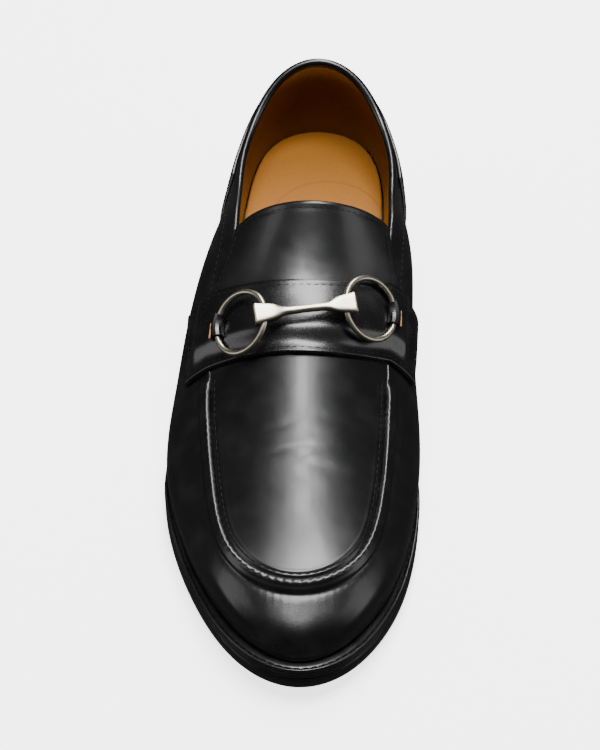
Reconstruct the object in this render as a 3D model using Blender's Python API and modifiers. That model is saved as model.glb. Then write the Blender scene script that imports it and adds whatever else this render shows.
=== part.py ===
"""Bit loafer, the wearer's right shoe, as separate solids. Metres, +Z up.

The toe points to -Y, the heel to +Y, and +X is the inner (medial) side. The
origin is on the floor under the middle of the shoe's box. The sole's edge and
the upper's top edge are closed curves of one angle, 0 at the back of the heel
and pi at the toe, and every curved piece is worked out from those two.
"""

import math

import bmesh
import bpy
import numpy as np
from mathutils import Matrix

# Sole
SOLE_LENGTH = 0.298
SOLE_WIDTH = 0.108
OUTSOLE_THICKNESS = 0.0061
WELT_THICKNESS = 0.0055
TOE_REACH = 0.0047        # how far the welt stands out from the upper
SIDE_REACH = 0.0034
SEAT_REACH = 0.0026
WELT_STRIP = 0.0130       # width of the welt strip
INSOLE_THICKNESS = 0.0022
TOP_LIFT_THICKNESS = 0.0060
HEEL_STACK_HEIGHT = 0.0139
HEEL_BREAST = 0.0740      # from the heel's back to its straight front
HEEL_TAPER = 0.0024
TOE_SPRING = 0.0070
EDGE_ROUND = 0.0006

# Upper
UPPER_WALL = 0.0020
BACK_HEIGHT = 0.0490      # collar's height at the back, above the welt
COLLAR_WIDTH = 0.0740
COLLAR_LEAN = 0.0078      # how far the collar's back lies inside the sole's
APRON_SETBACK = 0.0290    # from the sole's toe to the apron seam's front
SEAM_WIDTH = 0.0046       # rolled seam of the apron and binding of the collar
SEAM_RISE = 0.0009
TONGUE_THICKNESS = 0.0022
TONGUE_TIP = 0.0475       # y of the tongue's end on the middle line
TONGUE_CORNER = 0.0060    # how far its corners are rounded back
TONGUE_WRAP = 0.10        # how far the tongue's edges run down the sides
COUNTER_THICKNESS = 0.0012
COUNTER_FRONT = 0.0600    # y of the counter's front edge at the welt
COUNTER_RAKE = 0.0400     # how far that edge leans back at the top
COUNTER_FOOT = 0.045      # shares of the wall from the welt up
COUNTER_TOP = 0.84

# Strap and bit
STRAP_WIDTH = 0.0332
STRAP_MIDDLE = 0.0014     # y of the strap's middle on the middle line
STRAP_THICKNESS = 0.0021
RING_RADIUS = 0.0134      # to the middle of the wire
WIRE_RADIUS = 0.00122
RING_SPOTS = {            # a ring's middle: y from the strap's middle, share across, height off the strap
    "lateral": (-0.0037, -0.580, 0.0039),
    "medial": (0.0033, 0.707, 0.00315),
}
RING_DIP = math.radians(14.8)     # both rings dip outwards by this more than the strap does
RING_PITCH = math.radians(2.3)    # and rise by this more than the instep does
BAR_END_LENGTH = 0.0096
BAR_END_WIDTH = 0.0096
BAR_END_THICKNESS = 0.0044
BAR_WAIST = 0.0032
EYE_TURNS = {             # how far uphill from straight inwards each ring meets the bar
    "lateral": math.radians(6.0),
    "medial": math.radians(-5.0),
}
TAB_TURN = math.radians(5.0)      # tabs sit a little up the slope from the outermost wire
TAB_SWEEP = math.radians(22.0)    # half of the wire's arc under a tab
TAB_THICKNESS = 0.0011
TAB_INNER_FOOT = 0.0027   # from the wire's middle to a tab's feet
TAB_OUTER_FOOT = 0.0042
TAIL_DEPTH = 0.0010       # of the outer foot in the strap's slot

GAP = 0.0003              # between pieces that touch
BORE_CLEARANCE = 0.0003   # around the wire in its eyes and tabs

HEEL_HEIGHT = TOP_LIFT_THICKNESS + HEEL_STACK_HEIGHT + 2 * GAP
WELT_FOOT = OUTSOLE_THICKNESS + GAP
UPPER_FOOT = WELT_FOOT + WELT_THICKNESS + GAP
UPPER_BACK = SOLE_LENGTH / 2 - COLLAR_LEAN
COLLAR_LENGTH = SOLE_LENGTH - COLLAR_LEAN - APRON_SETBACK

SLOPE_STEP = 0.02         # share of a wall's height over which its slope is taken

SOLE_STEPS = 64           # points around the sole
UPPER_STEPS = 72          # points around the upper
PLUG_COLUMNS = 12

# Sole's plan. Share of the length from the heel; middle line and half width
# before the ends are rounded, as shares of half the sole's width.
SOLE_ROWS = [
    (0.00, 0.110, 1.300),
    (0.07, 0.108, 1.070),
    (0.15, 0.100, 0.890),
    (0.25, 0.068, 0.772),
    (0.35, 0.018, 0.742),
    (0.45, -0.020, 0.800),
    (0.55, -0.018, 0.910),
    (0.65, -0.002, 1.040),
    (0.75, 0.033, 1.087),
    (0.85, 0.076, 1.097),
    (0.93, 0.095, 1.097),
    (1.00, 0.108, 1.100),
]

# Top edge's plan: collar, then apron seam. Share of its length from the heel;
# middle line and half width as shares of half the collar's width.
TOP_ROWS = [
    (0.00, 0.150, 1.600),
    (0.07, 0.160, 1.410),
    (0.16, 0.165, 1.225),
    (0.25, 0.160, 1.060),
    (0.31, 0.160, 1.000),
    (0.36, 0.150, 0.958),
    (0.44, 0.092, 0.945),
    (0.53, 0.055, 0.985),
    (0.60, 0.047, 1.030),
    (0.70, 0.062, 1.080),
    (0.79, 0.084, 1.155),
    (0.89, 0.100, 1.330),
    (0.95, 0.106, 1.490),
    (1.00, 0.110, 1.600),
]

# Height of that edge above the welt. Share of the sole's length; share of the
# collar's height at the back.
EDGE_ROWS = [
    (0.026, 1.000),
    (0.097, 0.704),
    (0.164, 0.602),
    (0.232, 0.612),
    (0.282, 0.682),
    (0.326, 0.739),
    (0.409, 0.694),
    (0.491, 0.630),
    (0.550, 0.620),
    (0.601, 0.616),
    (0.715, 0.590),
    (0.836, 0.565),
    (0.903, 0.544),
]

# Height of the upper's middle line above the welt, in the same shares.
SPINE_ROWS = [
    (0.326, 1.239),
    (0.346, 1.169),
    (0.393, 1.035),
    (0.441, 0.953),
    (0.500, 0.932),
    (0.555, 0.935),
    (0.601, 0.922),
    (0.701, 0.816),
    (0.802, 0.714),
    (0.869, 0.612),
    (0.903, 0.544),
]

# How far each cross curve leans back on its way down, as a share of its drop.
# Share of the sole's length; lateral side, medial side.
TILT_ROWS = [
    (0.000, 0.00, 0.00),
    (0.200, 0.10, 0.10),
    (0.315, 0.25, 0.33),
    (0.433, 0.27, 0.62),
    (0.533, 0.19, 0.53),
    (0.668, 0.16, 0.40),
    (0.802, 0.14, 0.21),
    (0.903, 0.00, 0.00),
]

# Side walls. Share around; lean at the welt in degrees, lateral and medial;
# length of that pull; slope at the top edge in degrees; length of that pull.
WALL_ROWS = [
    (0.00, 12, 12, 0.35, 74, 0.35),
    (0.12, 20, 24, 0.42, 70, 0.38),
    (0.25, 34, 42, 0.50, 58, 0.46),
    (0.35, 40, 50, 0.55, 48, 0.52),
    (0.45, 38, 52, 0.55, 44, 0.54),
    (0.55, 32, 46, 0.50, 42, 0.52),
    (0.65, 26, 30, 0.45, 42, 0.48),
    (0.75, 20, 20, 0.42, 43, 0.44),
    (0.90, 12, 12, 0.45, 40, 0.45),
    (1.00, 5, 5, 0.50, 38, 0.45),
]

# How far the strap's ends run down the sides, front and back edge.
STRAP_ENDS = [(1.26, 1.40), (1.32, 1.50)]

# Rolled seam and binding. Share of its width from the top edge; share of its rise.
SEAM_ROWS = [
    (0.00, 0.00),
    (0.24, 0.75),
    (0.52, 1.00),
    (0.80, 0.60),
    (1.00, 0.00),
]


def smooth(rows, column, where):
    """Natural cubic curve through one column of a table, over its first column."""
    table = np.array(rows, float)
    x, y = table[:, 0], table[:, column]
    where = np.clip(where, x[0], x[-1])
    step = np.diff(x)
    system = np.eye(len(x))
    right = np.zeros(len(x))
    for i in range(1, len(x) - 1):
        system[i, i - 1:i + 2] = step[i - 1], 2 * (step[i - 1] + step[i]), step[i]
        right[i] = 6 * ((y[i + 1] - y[i]) / step[i] - (y[i] - y[i - 1]) / step[i - 1])
    bend = np.linalg.solve(system, right)
    i = np.clip(np.searchsorted(x, where) - 1, 0, len(x) - 2)
    near = (x[i + 1] - where) / step[i]
    far = 1 - near
    pull = (near**3 - near) * bend[i] + (far**3 - far) * bend[i + 1]
    return near * y[i] + far * y[i + 1] + pull * step[i]**2 / 6


def ease(share):
    """0 to 1 with level ends."""
    share = np.clip(share, 0, 1)
    return share * share * (3 - 2 * share)


def unit(vectors):
    return vectors / np.linalg.norm(vectors, axis=-1, keepdims=True)


def with_height(plan, height):
    return np.concatenate([plan, np.asarray(height)[..., None]], -1)


def share_along(angle):
    """Share of the length from heel to toe at an angle around the shoe."""
    return (1 - np.cos(angle)) / 2


def closed_plan(angle, rows, width, back, length):
    share = share_along(angle)
    x = width / 2 * (smooth(rows, 1, share) - smooth(rows, 2, share) * np.sin(angle))
    return np.stack([x, back - length * share], -1)


def outward(angle, *curve):
    """Unit vectors that point out of a closed plan curve."""
    step = 1e-4
    along = unit(closed_plan(angle + step, *curve) - closed_plan(angle - step, *curve))
    return np.stack([along[..., 1], -along[..., 0]], -1)


SOLE_CURVE = (SOLE_ROWS, SOLE_WIDTH, SOLE_LENGTH / 2, SOLE_LENGTH)
TOP_CURVE = (TOP_ROWS, COLLAR_WIDTH, UPPER_BACK, COLLAR_LENGTH)


def sole_plan(angle, inset=0.0):
    """Plan of the sole's edge, moved in by a distance."""
    return closed_plan(angle, *SOLE_CURVE) - outward(angle, *SOLE_CURVE) * np.asarray(inset)[..., None]


def tread(y):
    """Height of the outsole's underside: heel, arch, level ball, toe spring."""
    share = 0.5 - y / SOLE_LENGTH
    toe = TOE_SPRING * np.clip((share - 0.75) / 0.25, 0, 1)**1.9
    return toe + HEEL_HEIGHT * ease((0.62 - share) / 0.36)


def reach(angle):
    """How far the sole stands out from the upper."""
    share = share_along(angle)
    side = SEAT_REACH + (SIDE_REACH - SEAT_REACH) * ease((share - 0.12) / 0.25)
    return side + (TOE_REACH - SIDE_REACH) * ease((share - 0.80) / 0.20)


def sole_ring(angle, inset, height, level=None):
    """A ring of points around the sole, at a height above its underside or at a level."""
    plan = sole_plan(angle, inset)
    return with_height(plan, tread(plan[..., 1]) + height if level is None else level + 0 * plan[..., 1])


def upper_foot(angle):
    """The upper's bottom edge."""
    return sole_ring(angle, reach(angle), UPPER_FOOT)


def above_welt(rows, y):
    return tread(y) + UPPER_FOOT + BACK_HEIGHT * smooth(rows, 1, 0.5 - y / SOLE_LENGTH)


def top_edge(angle):
    """The collar's edge, which runs on as the apron seam."""
    plan = closed_plan(angle, *TOP_CURVE)
    return with_height(plan, above_welt(EDGE_ROWS, plan[..., 1]))


def wall(angle, rise):
    """Point of the upper's side, rise 0 at the welt and 1 at the top edge: a cubic curve between them."""
    angle, rise = np.broadcast_arrays(angle, rise)
    foot, top = upper_foot(angle), top_edge(angle)
    share = share_along(angle)
    medial = (1 - np.sign(np.sin(angle))) / 2
    lean = np.radians(smooth(WALL_ROWS, 1, share) * (1 - medial) + smooth(WALL_ROWS, 2, share) * medial)
    slope = np.radians(smooth(WALL_ROWS, 4, share))
    chord = np.linalg.norm(top - foot, axis=-1)
    out_low = outward(angle, *SOLE_CURVE) * np.sin(lean)[..., None]
    out_high = outward(angle, *TOP_CURVE) * np.cos(slope)[..., None]
    low = foot + with_height(out_low, np.cos(lean)) * (smooth(WALL_ROWS, 3, share) * chord)[..., None]
    high = top + with_height(out_high, -np.sin(slope)) * (smooth(WALL_ROWS, 5, share) * chord)[..., None]
    v = rise[..., None]
    return (1 - v)**3 * foot + 3 * (1 - v)**2 * v * low + 3 * (1 - v) * v**2 * high + v**3 * top


def edge_angle(y_edge):
    return np.arccos(np.clip(1 - 2 * (UPPER_BACK - y_edge) / COLLAR_LENGTH, -1, 1))


def spine_of_edge(y_edge, side):
    """Where the cross curve from an edge point meets the middle line."""
    drop = above_welt(SPINE_ROWS, y_edge) - above_welt(EDGE_ROWS, y_edge)
    return y_edge - drop * smooth(TILT_ROWS, 1 if side < 0 else 2, 0.5 - y_edge / SOLE_LENGTH)


def angle_of_spine(y_spine, side):
    """Angle of the top edge whose cross curve meets the middle line at y_spine."""
    y_edge = np.linspace(UPPER_BACK - COLLAR_LENGTH, UPPER_BACK, 600)
    return -side * edge_angle(np.interp(y_spine, spine_of_edge(y_edge, side), y_edge))


def spine_point(y):
    """Middle line of plug and tongue."""
    share = np.clip((UPPER_BACK - y) / COLLAR_LENGTH, 0, 1)
    x = COLLAR_WIDTH / 2 * smooth(TOP_ROWS, 1, share)
    return np.stack([x, y, above_welt(SPINE_ROWS, y)], -1)


def skin(y_spine, across):
    """Point of the instep's surface on the cross curve through y_spine.

    across is 0 on the middle line and -1 or 1 at the top edge, where the curve
    is a parabola; from there to -2 or 2 it runs down the side wall.
    """
    y_spine, across = np.broadcast_arrays(np.asarray(y_spine, float), np.asarray(across, float))
    middle = spine_point(y_spine)
    size = np.minimum(np.abs(across), 1)[..., None]
    blend = np.concatenate([size, size**2, size**2], -1)
    rise = 1 - np.clip(np.abs(across) - 1, 0, 1)
    sides = []
    for side in (-1, 1):
        angle = angle_of_spine(y_spine, side)
        arch = middle + (top_edge(angle) - middle) * blend
        sides.append(np.where((np.abs(across) > 1)[..., None], wall(angle, rise), arch))
    return np.where((across < 0)[..., None], sides[0], sides[1])


def over_skin(y_spine, across, lift):
    """Point of the instep's surface raised along its normal."""
    step_y, step_across = 5e-4, 0.02
    along = skin(y_spine + step_y, across) - skin(y_spine - step_y, across)
    sideways = skin(y_spine, across + step_across) - skin(y_spine, across - step_across)
    return skin(y_spine, across) + unit(np.cross(sideways, along)) * np.asarray(lift)[..., None]


def crown(plan):
    """The plug's point over a point of its plan."""
    y_spine = plan[..., 1]
    for _ in range(6):
        middle = spine_point(y_spine)
        medial = (plan[..., 0] > middle[..., 0])[..., None]
        edge = np.where(medial, top_edge(angle_of_spine(y_spine, 1)), top_edge(angle_of_spine(y_spine, -1)))
        half = np.maximum(np.abs(edge[..., 0] - middle[..., 0]), 1e-6)
        share = np.clip(np.abs(plan[..., 0] - middle[..., 0]) / half, 0, 1)**2
        y_spine = plan[..., 1] - (edge[..., 1] - y_spine) * share
    return with_height(plan, middle[..., 2] + (edge[..., 2] - middle[..., 2]) * share)


def sheet_faces(rows, columns, closed=False):
    """Quads of a grid, seen from the side where rows go up and columns go right."""
    last = columns if closed else columns - 1
    return [
        (r * columns + c, r * columns + (c + 1) % columns, (r + 1) * columns + (c + 1) % columns, (r + 1) * columns + c)
        for r in range(rows - 1)
        for c in range(last)
    ]


def ladder_faces(count, first, up):
    """Flat fill of a ring that is symmetric about its first point, by rungs between its two sides."""
    faces = []
    for near in range((count - 1) // 2 + 1):
        rung = [near, near + 1, count - near - 1, (count - near) % count]
        face = list(dict.fromkeys(rung))
        if len(face) > 2 and near + 1 <= count - near - 1:
            faces.append([first + i for i in (face if up else face[::-1])])
    return faces


def new_object(name, collection, points, faces, merge=0.0):
    mesh = bpy.data.meshes.new(name)
    mesh.from_pydata([tuple(p) for p in np.reshape(points, (-1, 3))], [], faces)
    if merge:
        work = bmesh.new()
        work.from_mesh(mesh)
        bmesh.ops.remove_doubles(work, verts=work.verts, dist=merge)
        work.to_mesh(mesh)
        work.free()
    mesh.update()
    obj = bpy.data.objects.new(name, mesh)
    collection.objects.link(obj)
    return obj


def loft(name, collection, rings, capped=True):
    """A solid from rings, bottom ring first. Capped it is a block, otherwise the rings close into a tube."""
    count = len(rings[0])
    rows = list(rings) if capped else list(rings) + [rings[0]]
    faces = sheet_faces(len(rows), count, closed=True)
    if capped:
        faces += ladder_faces(count, 0, up=False)
        faces += ladder_faces(count, (len(rows) - 1) * count, up=True)
        return new_object(name, collection, rows, faces)
    faces = [[i % (len(rings) * count) for i in face] for face in faces]
    return new_object(name, collection, rings, faces)


def solidify(obj, thickness, outwards):
    shell = obj.modifiers.new("wall", "SOLIDIFY")
    shell.thickness = thickness
    shell.offset = 1 if outwards else -1
    shell.use_even_offset = False


def cut(obj, cutter, name):
    hole = obj.modifiers.new(name, "BOOLEAN")
    hole.operation = "DIFFERENCE"
    hole.solver = "EXACT"
    hole.object = cutter


def finish(obj, colour, roughness, metallic=0.0):
    """Gives a piece its own material and smooth shading with sharp edges."""
    material = bpy.data.materials.new(obj.name)
    material.use_nodes = True
    shader = material.node_tree.nodes["Principled BSDF"]
    shader.inputs["Base Color"].default_value = (*colour, 1)
    shader.inputs["Roughness"].default_value = roughness
    shader.inputs["Metallic"].default_value = metallic
    obj.data.materials.clear()
    obj.data.materials.append(material)
    obj.data.shade_smooth()
    obj.data.set_sharp_from_angle(angle=math.radians(35))
    return obj


BLACK_LEATHER = (0.012, 0.012, 0.013)
BLACK_EDGE = (0.010, 0.010, 0.010)
TAN_LINING = (0.58, 0.33, 0.13)
PALE_NICKEL = (0.66, 0.63, 0.56)


def make_outsole(collection):
    angle = np.linspace(0, 2 * np.pi, SOLE_STEPS, endpoint=False)
    rings = [
        sole_ring(angle, EDGE_ROUND, 0.0),
        sole_ring(angle, 0.0, EDGE_ROUND),
        sole_ring(angle, 0.0, OUTSOLE_THICKNESS - EDGE_ROUND),
        sole_ring(angle, EDGE_ROUND, OUTSOLE_THICKNESS),
    ]
    return finish(loft("outsole", collection, rings), BLACK_EDGE, 0.45)


def make_welt(collection):
    angle = np.linspace(0, 2 * np.pi, SOLE_STEPS, endpoint=False)
    top = WELT_FOOT + WELT_THICKNESS
    rings = [
        sole_ring(angle, EDGE_ROUND, WELT_FOOT),
        sole_ring(angle, 0.0, WELT_FOOT + EDGE_ROUND),
        sole_ring(angle, 0.0, top - EDGE_ROUND),
        sole_ring(angle, EDGE_ROUND, top),
        sole_ring(angle, WELT_STRIP, top),
        sole_ring(angle, WELT_STRIP, WELT_FOOT),
    ]
    return finish(loft("welt", collection, rings, capped=False), BLACK_EDGE, 0.40)


def make_insole(collection):
    """Fills the welt's ring from the outsole up, and covers the welt inside the upper."""
    angle = np.linspace(0, 2 * np.pi, SOLE_STEPS, endpoint=False)
    step = WELT_STRIP + GAP
    rim = reach(angle) + UPPER_WALL + GAP
    rings = [
        sole_ring(angle, step, WELT_FOOT),
        sole_ring(angle, step, UPPER_FOOT),
        sole_ring(angle, rim, UPPER_FOOT),
        sole_ring(angle, rim, UPPER_FOOT + INSOLE_THICKNESS - EDGE_ROUND),
        sole_ring(angle, rim + EDGE_ROUND, UPPER_FOOT + INSOLE_THICKNESS),
    ]
    return finish(loft("insole", collection, rings), TAN_LINING, 0.55)


def heel_ring(inset, level, breast):
    """Ring around the heel at one level, closed by its straight front."""
    trial = np.linspace(0, np.pi / 2, 400)
    half = []
    for side in (1, -1):
        y = sole_plan(side * trial, inset)[:, 1]
        last = np.interp(-breast, -y, trial)
        half.append(side * np.linspace(0, last, 13))
    angle = np.concatenate([half[0], half[1][:0:-1]])
    return sole_ring(angle, inset, 0.0, level)


def make_heel(collection):
    breast = SOLE_LENGTH / 2 - HEEL_BREAST
    lift_rings = [
        heel_ring(HEEL_TAPER + EDGE_ROUND, 0.0, breast),
        heel_ring(HEEL_TAPER, EDGE_ROUND, breast),
        heel_ring(HEEL_TAPER, TOP_LIFT_THICKNESS, breast),
    ]
    finish(loft("top_lift", collection, lift_rings), BLACK_EDGE, 0.70)
    foot = TOP_LIFT_THICKNESS + GAP
    block_rings = [
        heel_ring(HEEL_TAPER, foot, breast),
        heel_ring(0.75 * HEEL_TAPER, foot + HEEL_STACK_HEIGHT / 2, breast),
        heel_ring(0.25 * HEEL_TAPER, foot + HEEL_STACK_HEIGHT, breast),
    ]
    finish(loft("heel_block", collection, block_rings), BLACK_EDGE, 0.40)


def seam_strength(angle):
    """1 on the collar and the apron, 0 where tongue and strap cover the edge."""
    y = top_edge(angle)[..., 1]
    apron = ease((STRAP_MIDDLE - STRAP_WIDTH / 2 + 0.004 - y) / 0.010)
    collar = ease((y - TONGUE_TIP - 0.012) / 0.012)
    return np.maximum(apron, collar)


def make_upper(collection):
    """Side walls from heel to toe and the plug in front of the strap, as one shell."""
    half = UPPER_STEPS // 2
    lateral = np.pi * np.arange(half + 1) / half
    y_spine = spine_of_edge(top_edge(lateral)[:, 1], -1)
    medial = -angle_of_spine(y_spine, 1)
    medial[0], medial[-1] = 0.0, np.pi
    angle = np.concatenate([lateral, -medial[-2:0:-1]])

    chord = np.linalg.norm(top_edge(angle) - upper_foot(angle), axis=-1)
    rows = [wall(angle, np.full(UPPER_STEPS, v)) for v in (0.0, 0.12, 0.28, 0.46, 0.66)]
    for distance, rise in reversed(SEAM_ROWS):
        at = 1 - distance * SEAM_WIDTH / chord
        across = wall(angle, np.minimum(at + SLOPE_STEP, 1.0)) - wall(angle, at - SLOPE_STEP)
        around = wall(angle + 1e-3, at) - wall(angle - 1e-3, at)
        normal = unit(np.cross(around, across))
        rows.append(wall(angle, at) + normal * (rise * SEAM_RISE * seam_strength(angle))[:, None])
    points = np.concatenate(rows)
    faces = sheet_faces(len(rows), UPPER_STEPS, closed=True)

    front = half - PLUG_COLUMNS // 2
    throat = int(np.argmax(y_spine < STRAP_MIDDLE - 0.004))
    share = np.linspace(-1, 1, PLUG_COLUMNS + 1)
    plug = [skin(y_spine[k], share) for k in range(throat, front + 1)]
    for k in range(throat, front + 1):
        plug[k - throat][0] = rows[-1][k]
        plug[k - throat][-1] = rows[-1][UPPER_STEPS - k]
    toe_arc = rows[-1][front:UPPER_STEPS - front + 1]
    last_rung = plug[-1]
    for part in (1 / 3, 2 / 3):
        row = crown((last_rung + (toe_arc - last_rung) * part)[:, :2])
        row[0], row[-1] = last_rung[0], last_rung[-1]
        plug.append(row)
    plug.append(toe_arc)
    first = len(points)
    columns = PLUG_COLUMNS + 1
    for face in sheet_faces(len(plug), columns):
        faces.append([first + i for i in face[::-1]])
    points = np.concatenate([points, *plug])
    upper = new_object("upper", collection, points, faces, merge=1e-6)
    solidify(upper, UPPER_WALL, outwards=False)
    return finish(upper, BLACK_LEATHER, 0.28)


def instep_patch(name, collection, y_spine, across, lift, thickness):
    """A piece of leather laid over the instep, its inner face raised by lift."""
    points = over_skin(y_spine, across, lift)
    patch = new_object(name, collection, points, sheet_faces(*y_spine.shape))
    solidify(patch, thickness, outwards=True)
    return patch


def across_lines(limit, inside, outside):
    """Places across the instep that keep a line on each top edge."""
    middle = np.linspace(-1, 1, inside + 1)
    beyond = np.linspace(1, limit, outside + 1)[1:]
    return np.concatenate([-beyond[::-1], middle, beyond])


def make_tongue(collection):
    """From under the strap to a tip with rounded corners, over the edges of the sides."""
    start = STRAP_MIDDLE - 0.0034
    part, across = np.meshgrid(np.linspace(0, 1, 10), across_lines(1 + TONGUE_WRAP, 14, 1), indexing="ij")
    corner = np.abs(across / (1 + TONGUE_WRAP))**5
    y_spine = start + (TONGUE_TIP - TONGUE_CORNER * corner - start) * part
    across = across * (1 - 0.13 * ease((part - 0.45) / 0.55) * np.abs(across))
    lift = np.full_like(across, GAP)
    return finish(instep_patch("tongue", collection, y_spine, across, lift, TONGUE_THICKNESS), BLACK_LEATHER, 0.28)


def strap_lift(y_spine, across):
    """The strap lies on the plug in front and steps up onto the tongue behind and inside its edges."""
    behind = ease((y_spine - STRAP_MIDDLE + 0.0130) / 0.0090)
    inside = ease((1 + TONGUE_WRAP + 0.13 - np.abs(across)) / 0.10)
    return GAP + (TONGUE_THICKNESS + GAP) * behind * inside


def make_strap(collection):
    """Across the instep and down both sides, where its front corners are a little shorter."""
    part = np.linspace(0, 1, 10)
    rows = []
    for share in part:
        ends = [np.interp(share, (0, 1), (front, back)) for front, back in STRAP_ENDS]
        lateral = across_lines(ends[0], 14, 5)
        medial = across_lines(ends[1], 14, 5)
        rows.append(np.where(lateral < 0, lateral, medial))
    across = np.array(rows)
    y_spine = np.broadcast_to((STRAP_MIDDLE + STRAP_WIDTH * (part - 0.5))[:, None], across.shape)
    return instep_patch("strap", collection, y_spine, across, strap_lift(y_spine, across), STRAP_THICKNESS)


def over_strap(y_spine, across, lift=0.0):
    """Point over the strap's outer face."""
    y_spine, across = np.broadcast_arrays(np.asarray(y_spine, float), np.asarray(across, float))
    return over_skin(y_spine, across, strap_lift(y_spine, across) + STRAP_THICKNESS + lift)


def strap_spine(y, across):
    """Where the cross curves start that meet the strap's outer face in the upright plane at y."""
    y_spine = np.full_like(across, STRAP_MIDDLE)
    for _ in range(6):
        y_spine = y_spine - (over_strap(y_spine, across)[:, 1] - y)
    return y_spine


def strap_line(y, across):
    """Points of the strap's outer face in the upright plane at y."""
    return over_strap(strap_spine(y, across), across)


def bit_pitch():
    """Slope along the instep that both rings and the bar lie at."""
    low, high = over_strap(STRAP_MIDDLE + np.array([-0.36, 0.36]) * STRAP_WIDTH, 0.0)
    return math.atan2(high[2] - low[2], high[1] - low[1]) + RING_PITCH


def ring_place(label):
    """Centre of a ring, its direction in its own plane straight out to the side, and its axis off the strap."""
    side = -1 if label == "lateral" else 1
    y_from_middle, across, height = RING_SPOTS[label]
    y_spine = STRAP_MIDDLE + y_from_middle
    centre = over_strap([y_spine], across, height)[0]
    near, far = over_strap(y_spine, across + np.array([-0.05, 0.05]))
    roll = math.atan2(abs(far[2] - near[2]), abs(far[0] - near[0])) + RING_DIP
    pitch = bit_pitch()
    axis = np.array([
        side * math.sin(roll),
        -math.cos(roll) * math.sin(pitch),
        math.cos(roll) * math.cos(pitch),
    ])
    sideways = np.array([side, 0.0, 0.0])
    radial = unit(sideways - axis * (axis @ sideways))
    return centre, radial, axis


def eye_place(label):
    """Where a ring's wire passes through the bar, turned a little in the ring's plane from straight inwards."""
    centre, radial, axis = ring_place(label)
    uphill = np.cross(axis, radial)
    uphill = uphill * math.copysign(1.0, uphill[1])
    turn = EYE_TURNS[label]
    return centre - RING_RADIUS * (radial * math.cos(turn) - uphill * math.sin(turn))


def frame_matrix(centre, x_axis, z_axis):
    y_axis = np.cross(z_axis, x_axis)
    matrix = Matrix.Identity(4)
    for column, vector in enumerate((x_axis, y_axis, z_axis, centre)):
        for row in range(3):
            matrix[row][column] = vector[row]
    return matrix


def add_torus(name, collection, place, wire, segments):
    bpy.ops.mesh.primitive_torus_add(
        major_radius=RING_RADIUS, minor_radius=wire, major_segments=segments, minor_segments=10
    )
    torus = bpy.context.object
    torus.name = name
    torus.data.name = name
    for owner in list(torus.users_collection):
        owner.objects.unlink(torus)
    collection.objects.link(torus)
    centre, radial, axis = place
    torus.matrix_world = frame_matrix(centre, radial, axis)
    return torus


def strap_under(point):
    """Nearest point of the strap's outer face in the upright plane through a point, and the way off it."""
    middle = spine_point(np.array(STRAP_MIDDLE))[0]
    across = math.copysign(1.0, point[0] - middle) * np.linspace(0.5, 1.3, 300)
    face = strap_line(point[1], across)
    nearest = int(np.argmin(np.linalg.norm(face - point, axis=-1)))
    lifted = over_strap(strap_spine(point[1], across[nearest:nearest + 1]), across[nearest:nearest + 1], 0.001)[0]
    return face[nearest], unit(lifted - face[nearest])


def oriented_box(name, collection, centre, axes, size):
    bpy.ops.mesh.primitive_cube_add(size=1.0)
    box = bpy.context.object
    box.name = name
    box.data.name = name
    for owner in list(box.users_collection):
        owner.objects.unlink(box)
    collection.objects.link(box)
    matrix = Matrix.Identity(4)
    for column, (vector, scale) in enumerate(zip(axes, size)):
        for row in range(3):
            matrix[row][column] = vector[row] * scale
            matrix[row][3] = centre[row]
    box.matrix_world = matrix
    return box


def make_tab(collection, cutters, strap, label):
    """A leather keeper over the ring's wire; its inner foot stands on the strap, its outer foot in a slot."""
    centre, radial, axis = ring_place(label)
    tangent = np.cross(axis, radial) * math.copysign(1.0, axis[0])
    tangent = tangent * math.copysign(1.0, tangent[1])
    bore = WIRE_RADIUS + BORE_CLEARANCE
    over = np.linspace(0, np.pi, 7)
    sections = []
    for turn in TAB_TURN + np.linspace(-TAB_SWEEP, TAB_SWEEP, 9):
        out = radial * math.cos(turn) + tangent * math.sin(turn)
        wire = centre + out * RING_RADIUS
        straight = centre + tangent * RING_RADIUS * math.sin(turn) + radial * RING_RADIUS * math.cos(TAB_TURN)
        feet = []
        for distance, base in (
            (TAB_OUTER_FOOT, straight),
            (-TAB_INNER_FOOT, wire),
            (-TAB_INNER_FOOT + TAB_THICKNESS, wire),
            (TAB_OUTER_FOOT - TAB_THICKNESS, straight),
        ):
            direction = radial if base is straight else out
            face, off = strap_under(base + direction * distance)
            feet.append(face + off * (-TAIL_DEPTH if base is straight else GAP + 0.00005))
        outside = [wire + (bore + TAB_THICKNESS) * (out * math.cos(a) + axis * math.sin(a)) for a in over]
        inside = [wire + bore * (out * math.cos(a) + axis * math.sin(a)) for a in over[::-1]]
        sections.append([feet[0], *outside, feet[1], feet[2], *inside, feet[3]])
    count = len(sections[0])
    faces = sheet_faces(len(sections), count, closed=True)
    faces.append(list(range(count))[::-1])
    faces.append([(len(sections) - 1) * count + i for i in range(count)])
    tab = new_object("tab_" + label, collection, sections, faces)
    work = bmesh.new()
    work.from_mesh(tab.data)
    bmesh.ops.recalc_face_normals(work, faces=work.faces)
    work.to_mesh(tab.data)
    work.free()
    finish(tab, BLACK_LEATHER, 0.30)

    middle = sections[len(sections) // 2]
    outwards = unit(middle[0] - middle[-1])
    along = unit(tangent - outwards * (tangent @ outwards))
    slot = (middle[0] + middle[-1]) / 2
    length = 2 * RING_RADIUS * math.sin(TAB_SWEEP) + 8 * GAP
    width = np.linalg.norm(middle[0] - middle[-1]) + 6 * GAP
    axes = (outwards, along, np.cross(outwards, along))
    hole = oriented_box("slot_" + label, cutters, slot, axes, (width, length, 5 * STRAP_THICKNESS))
    cut(strap, hole, "slot_" + label)


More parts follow.
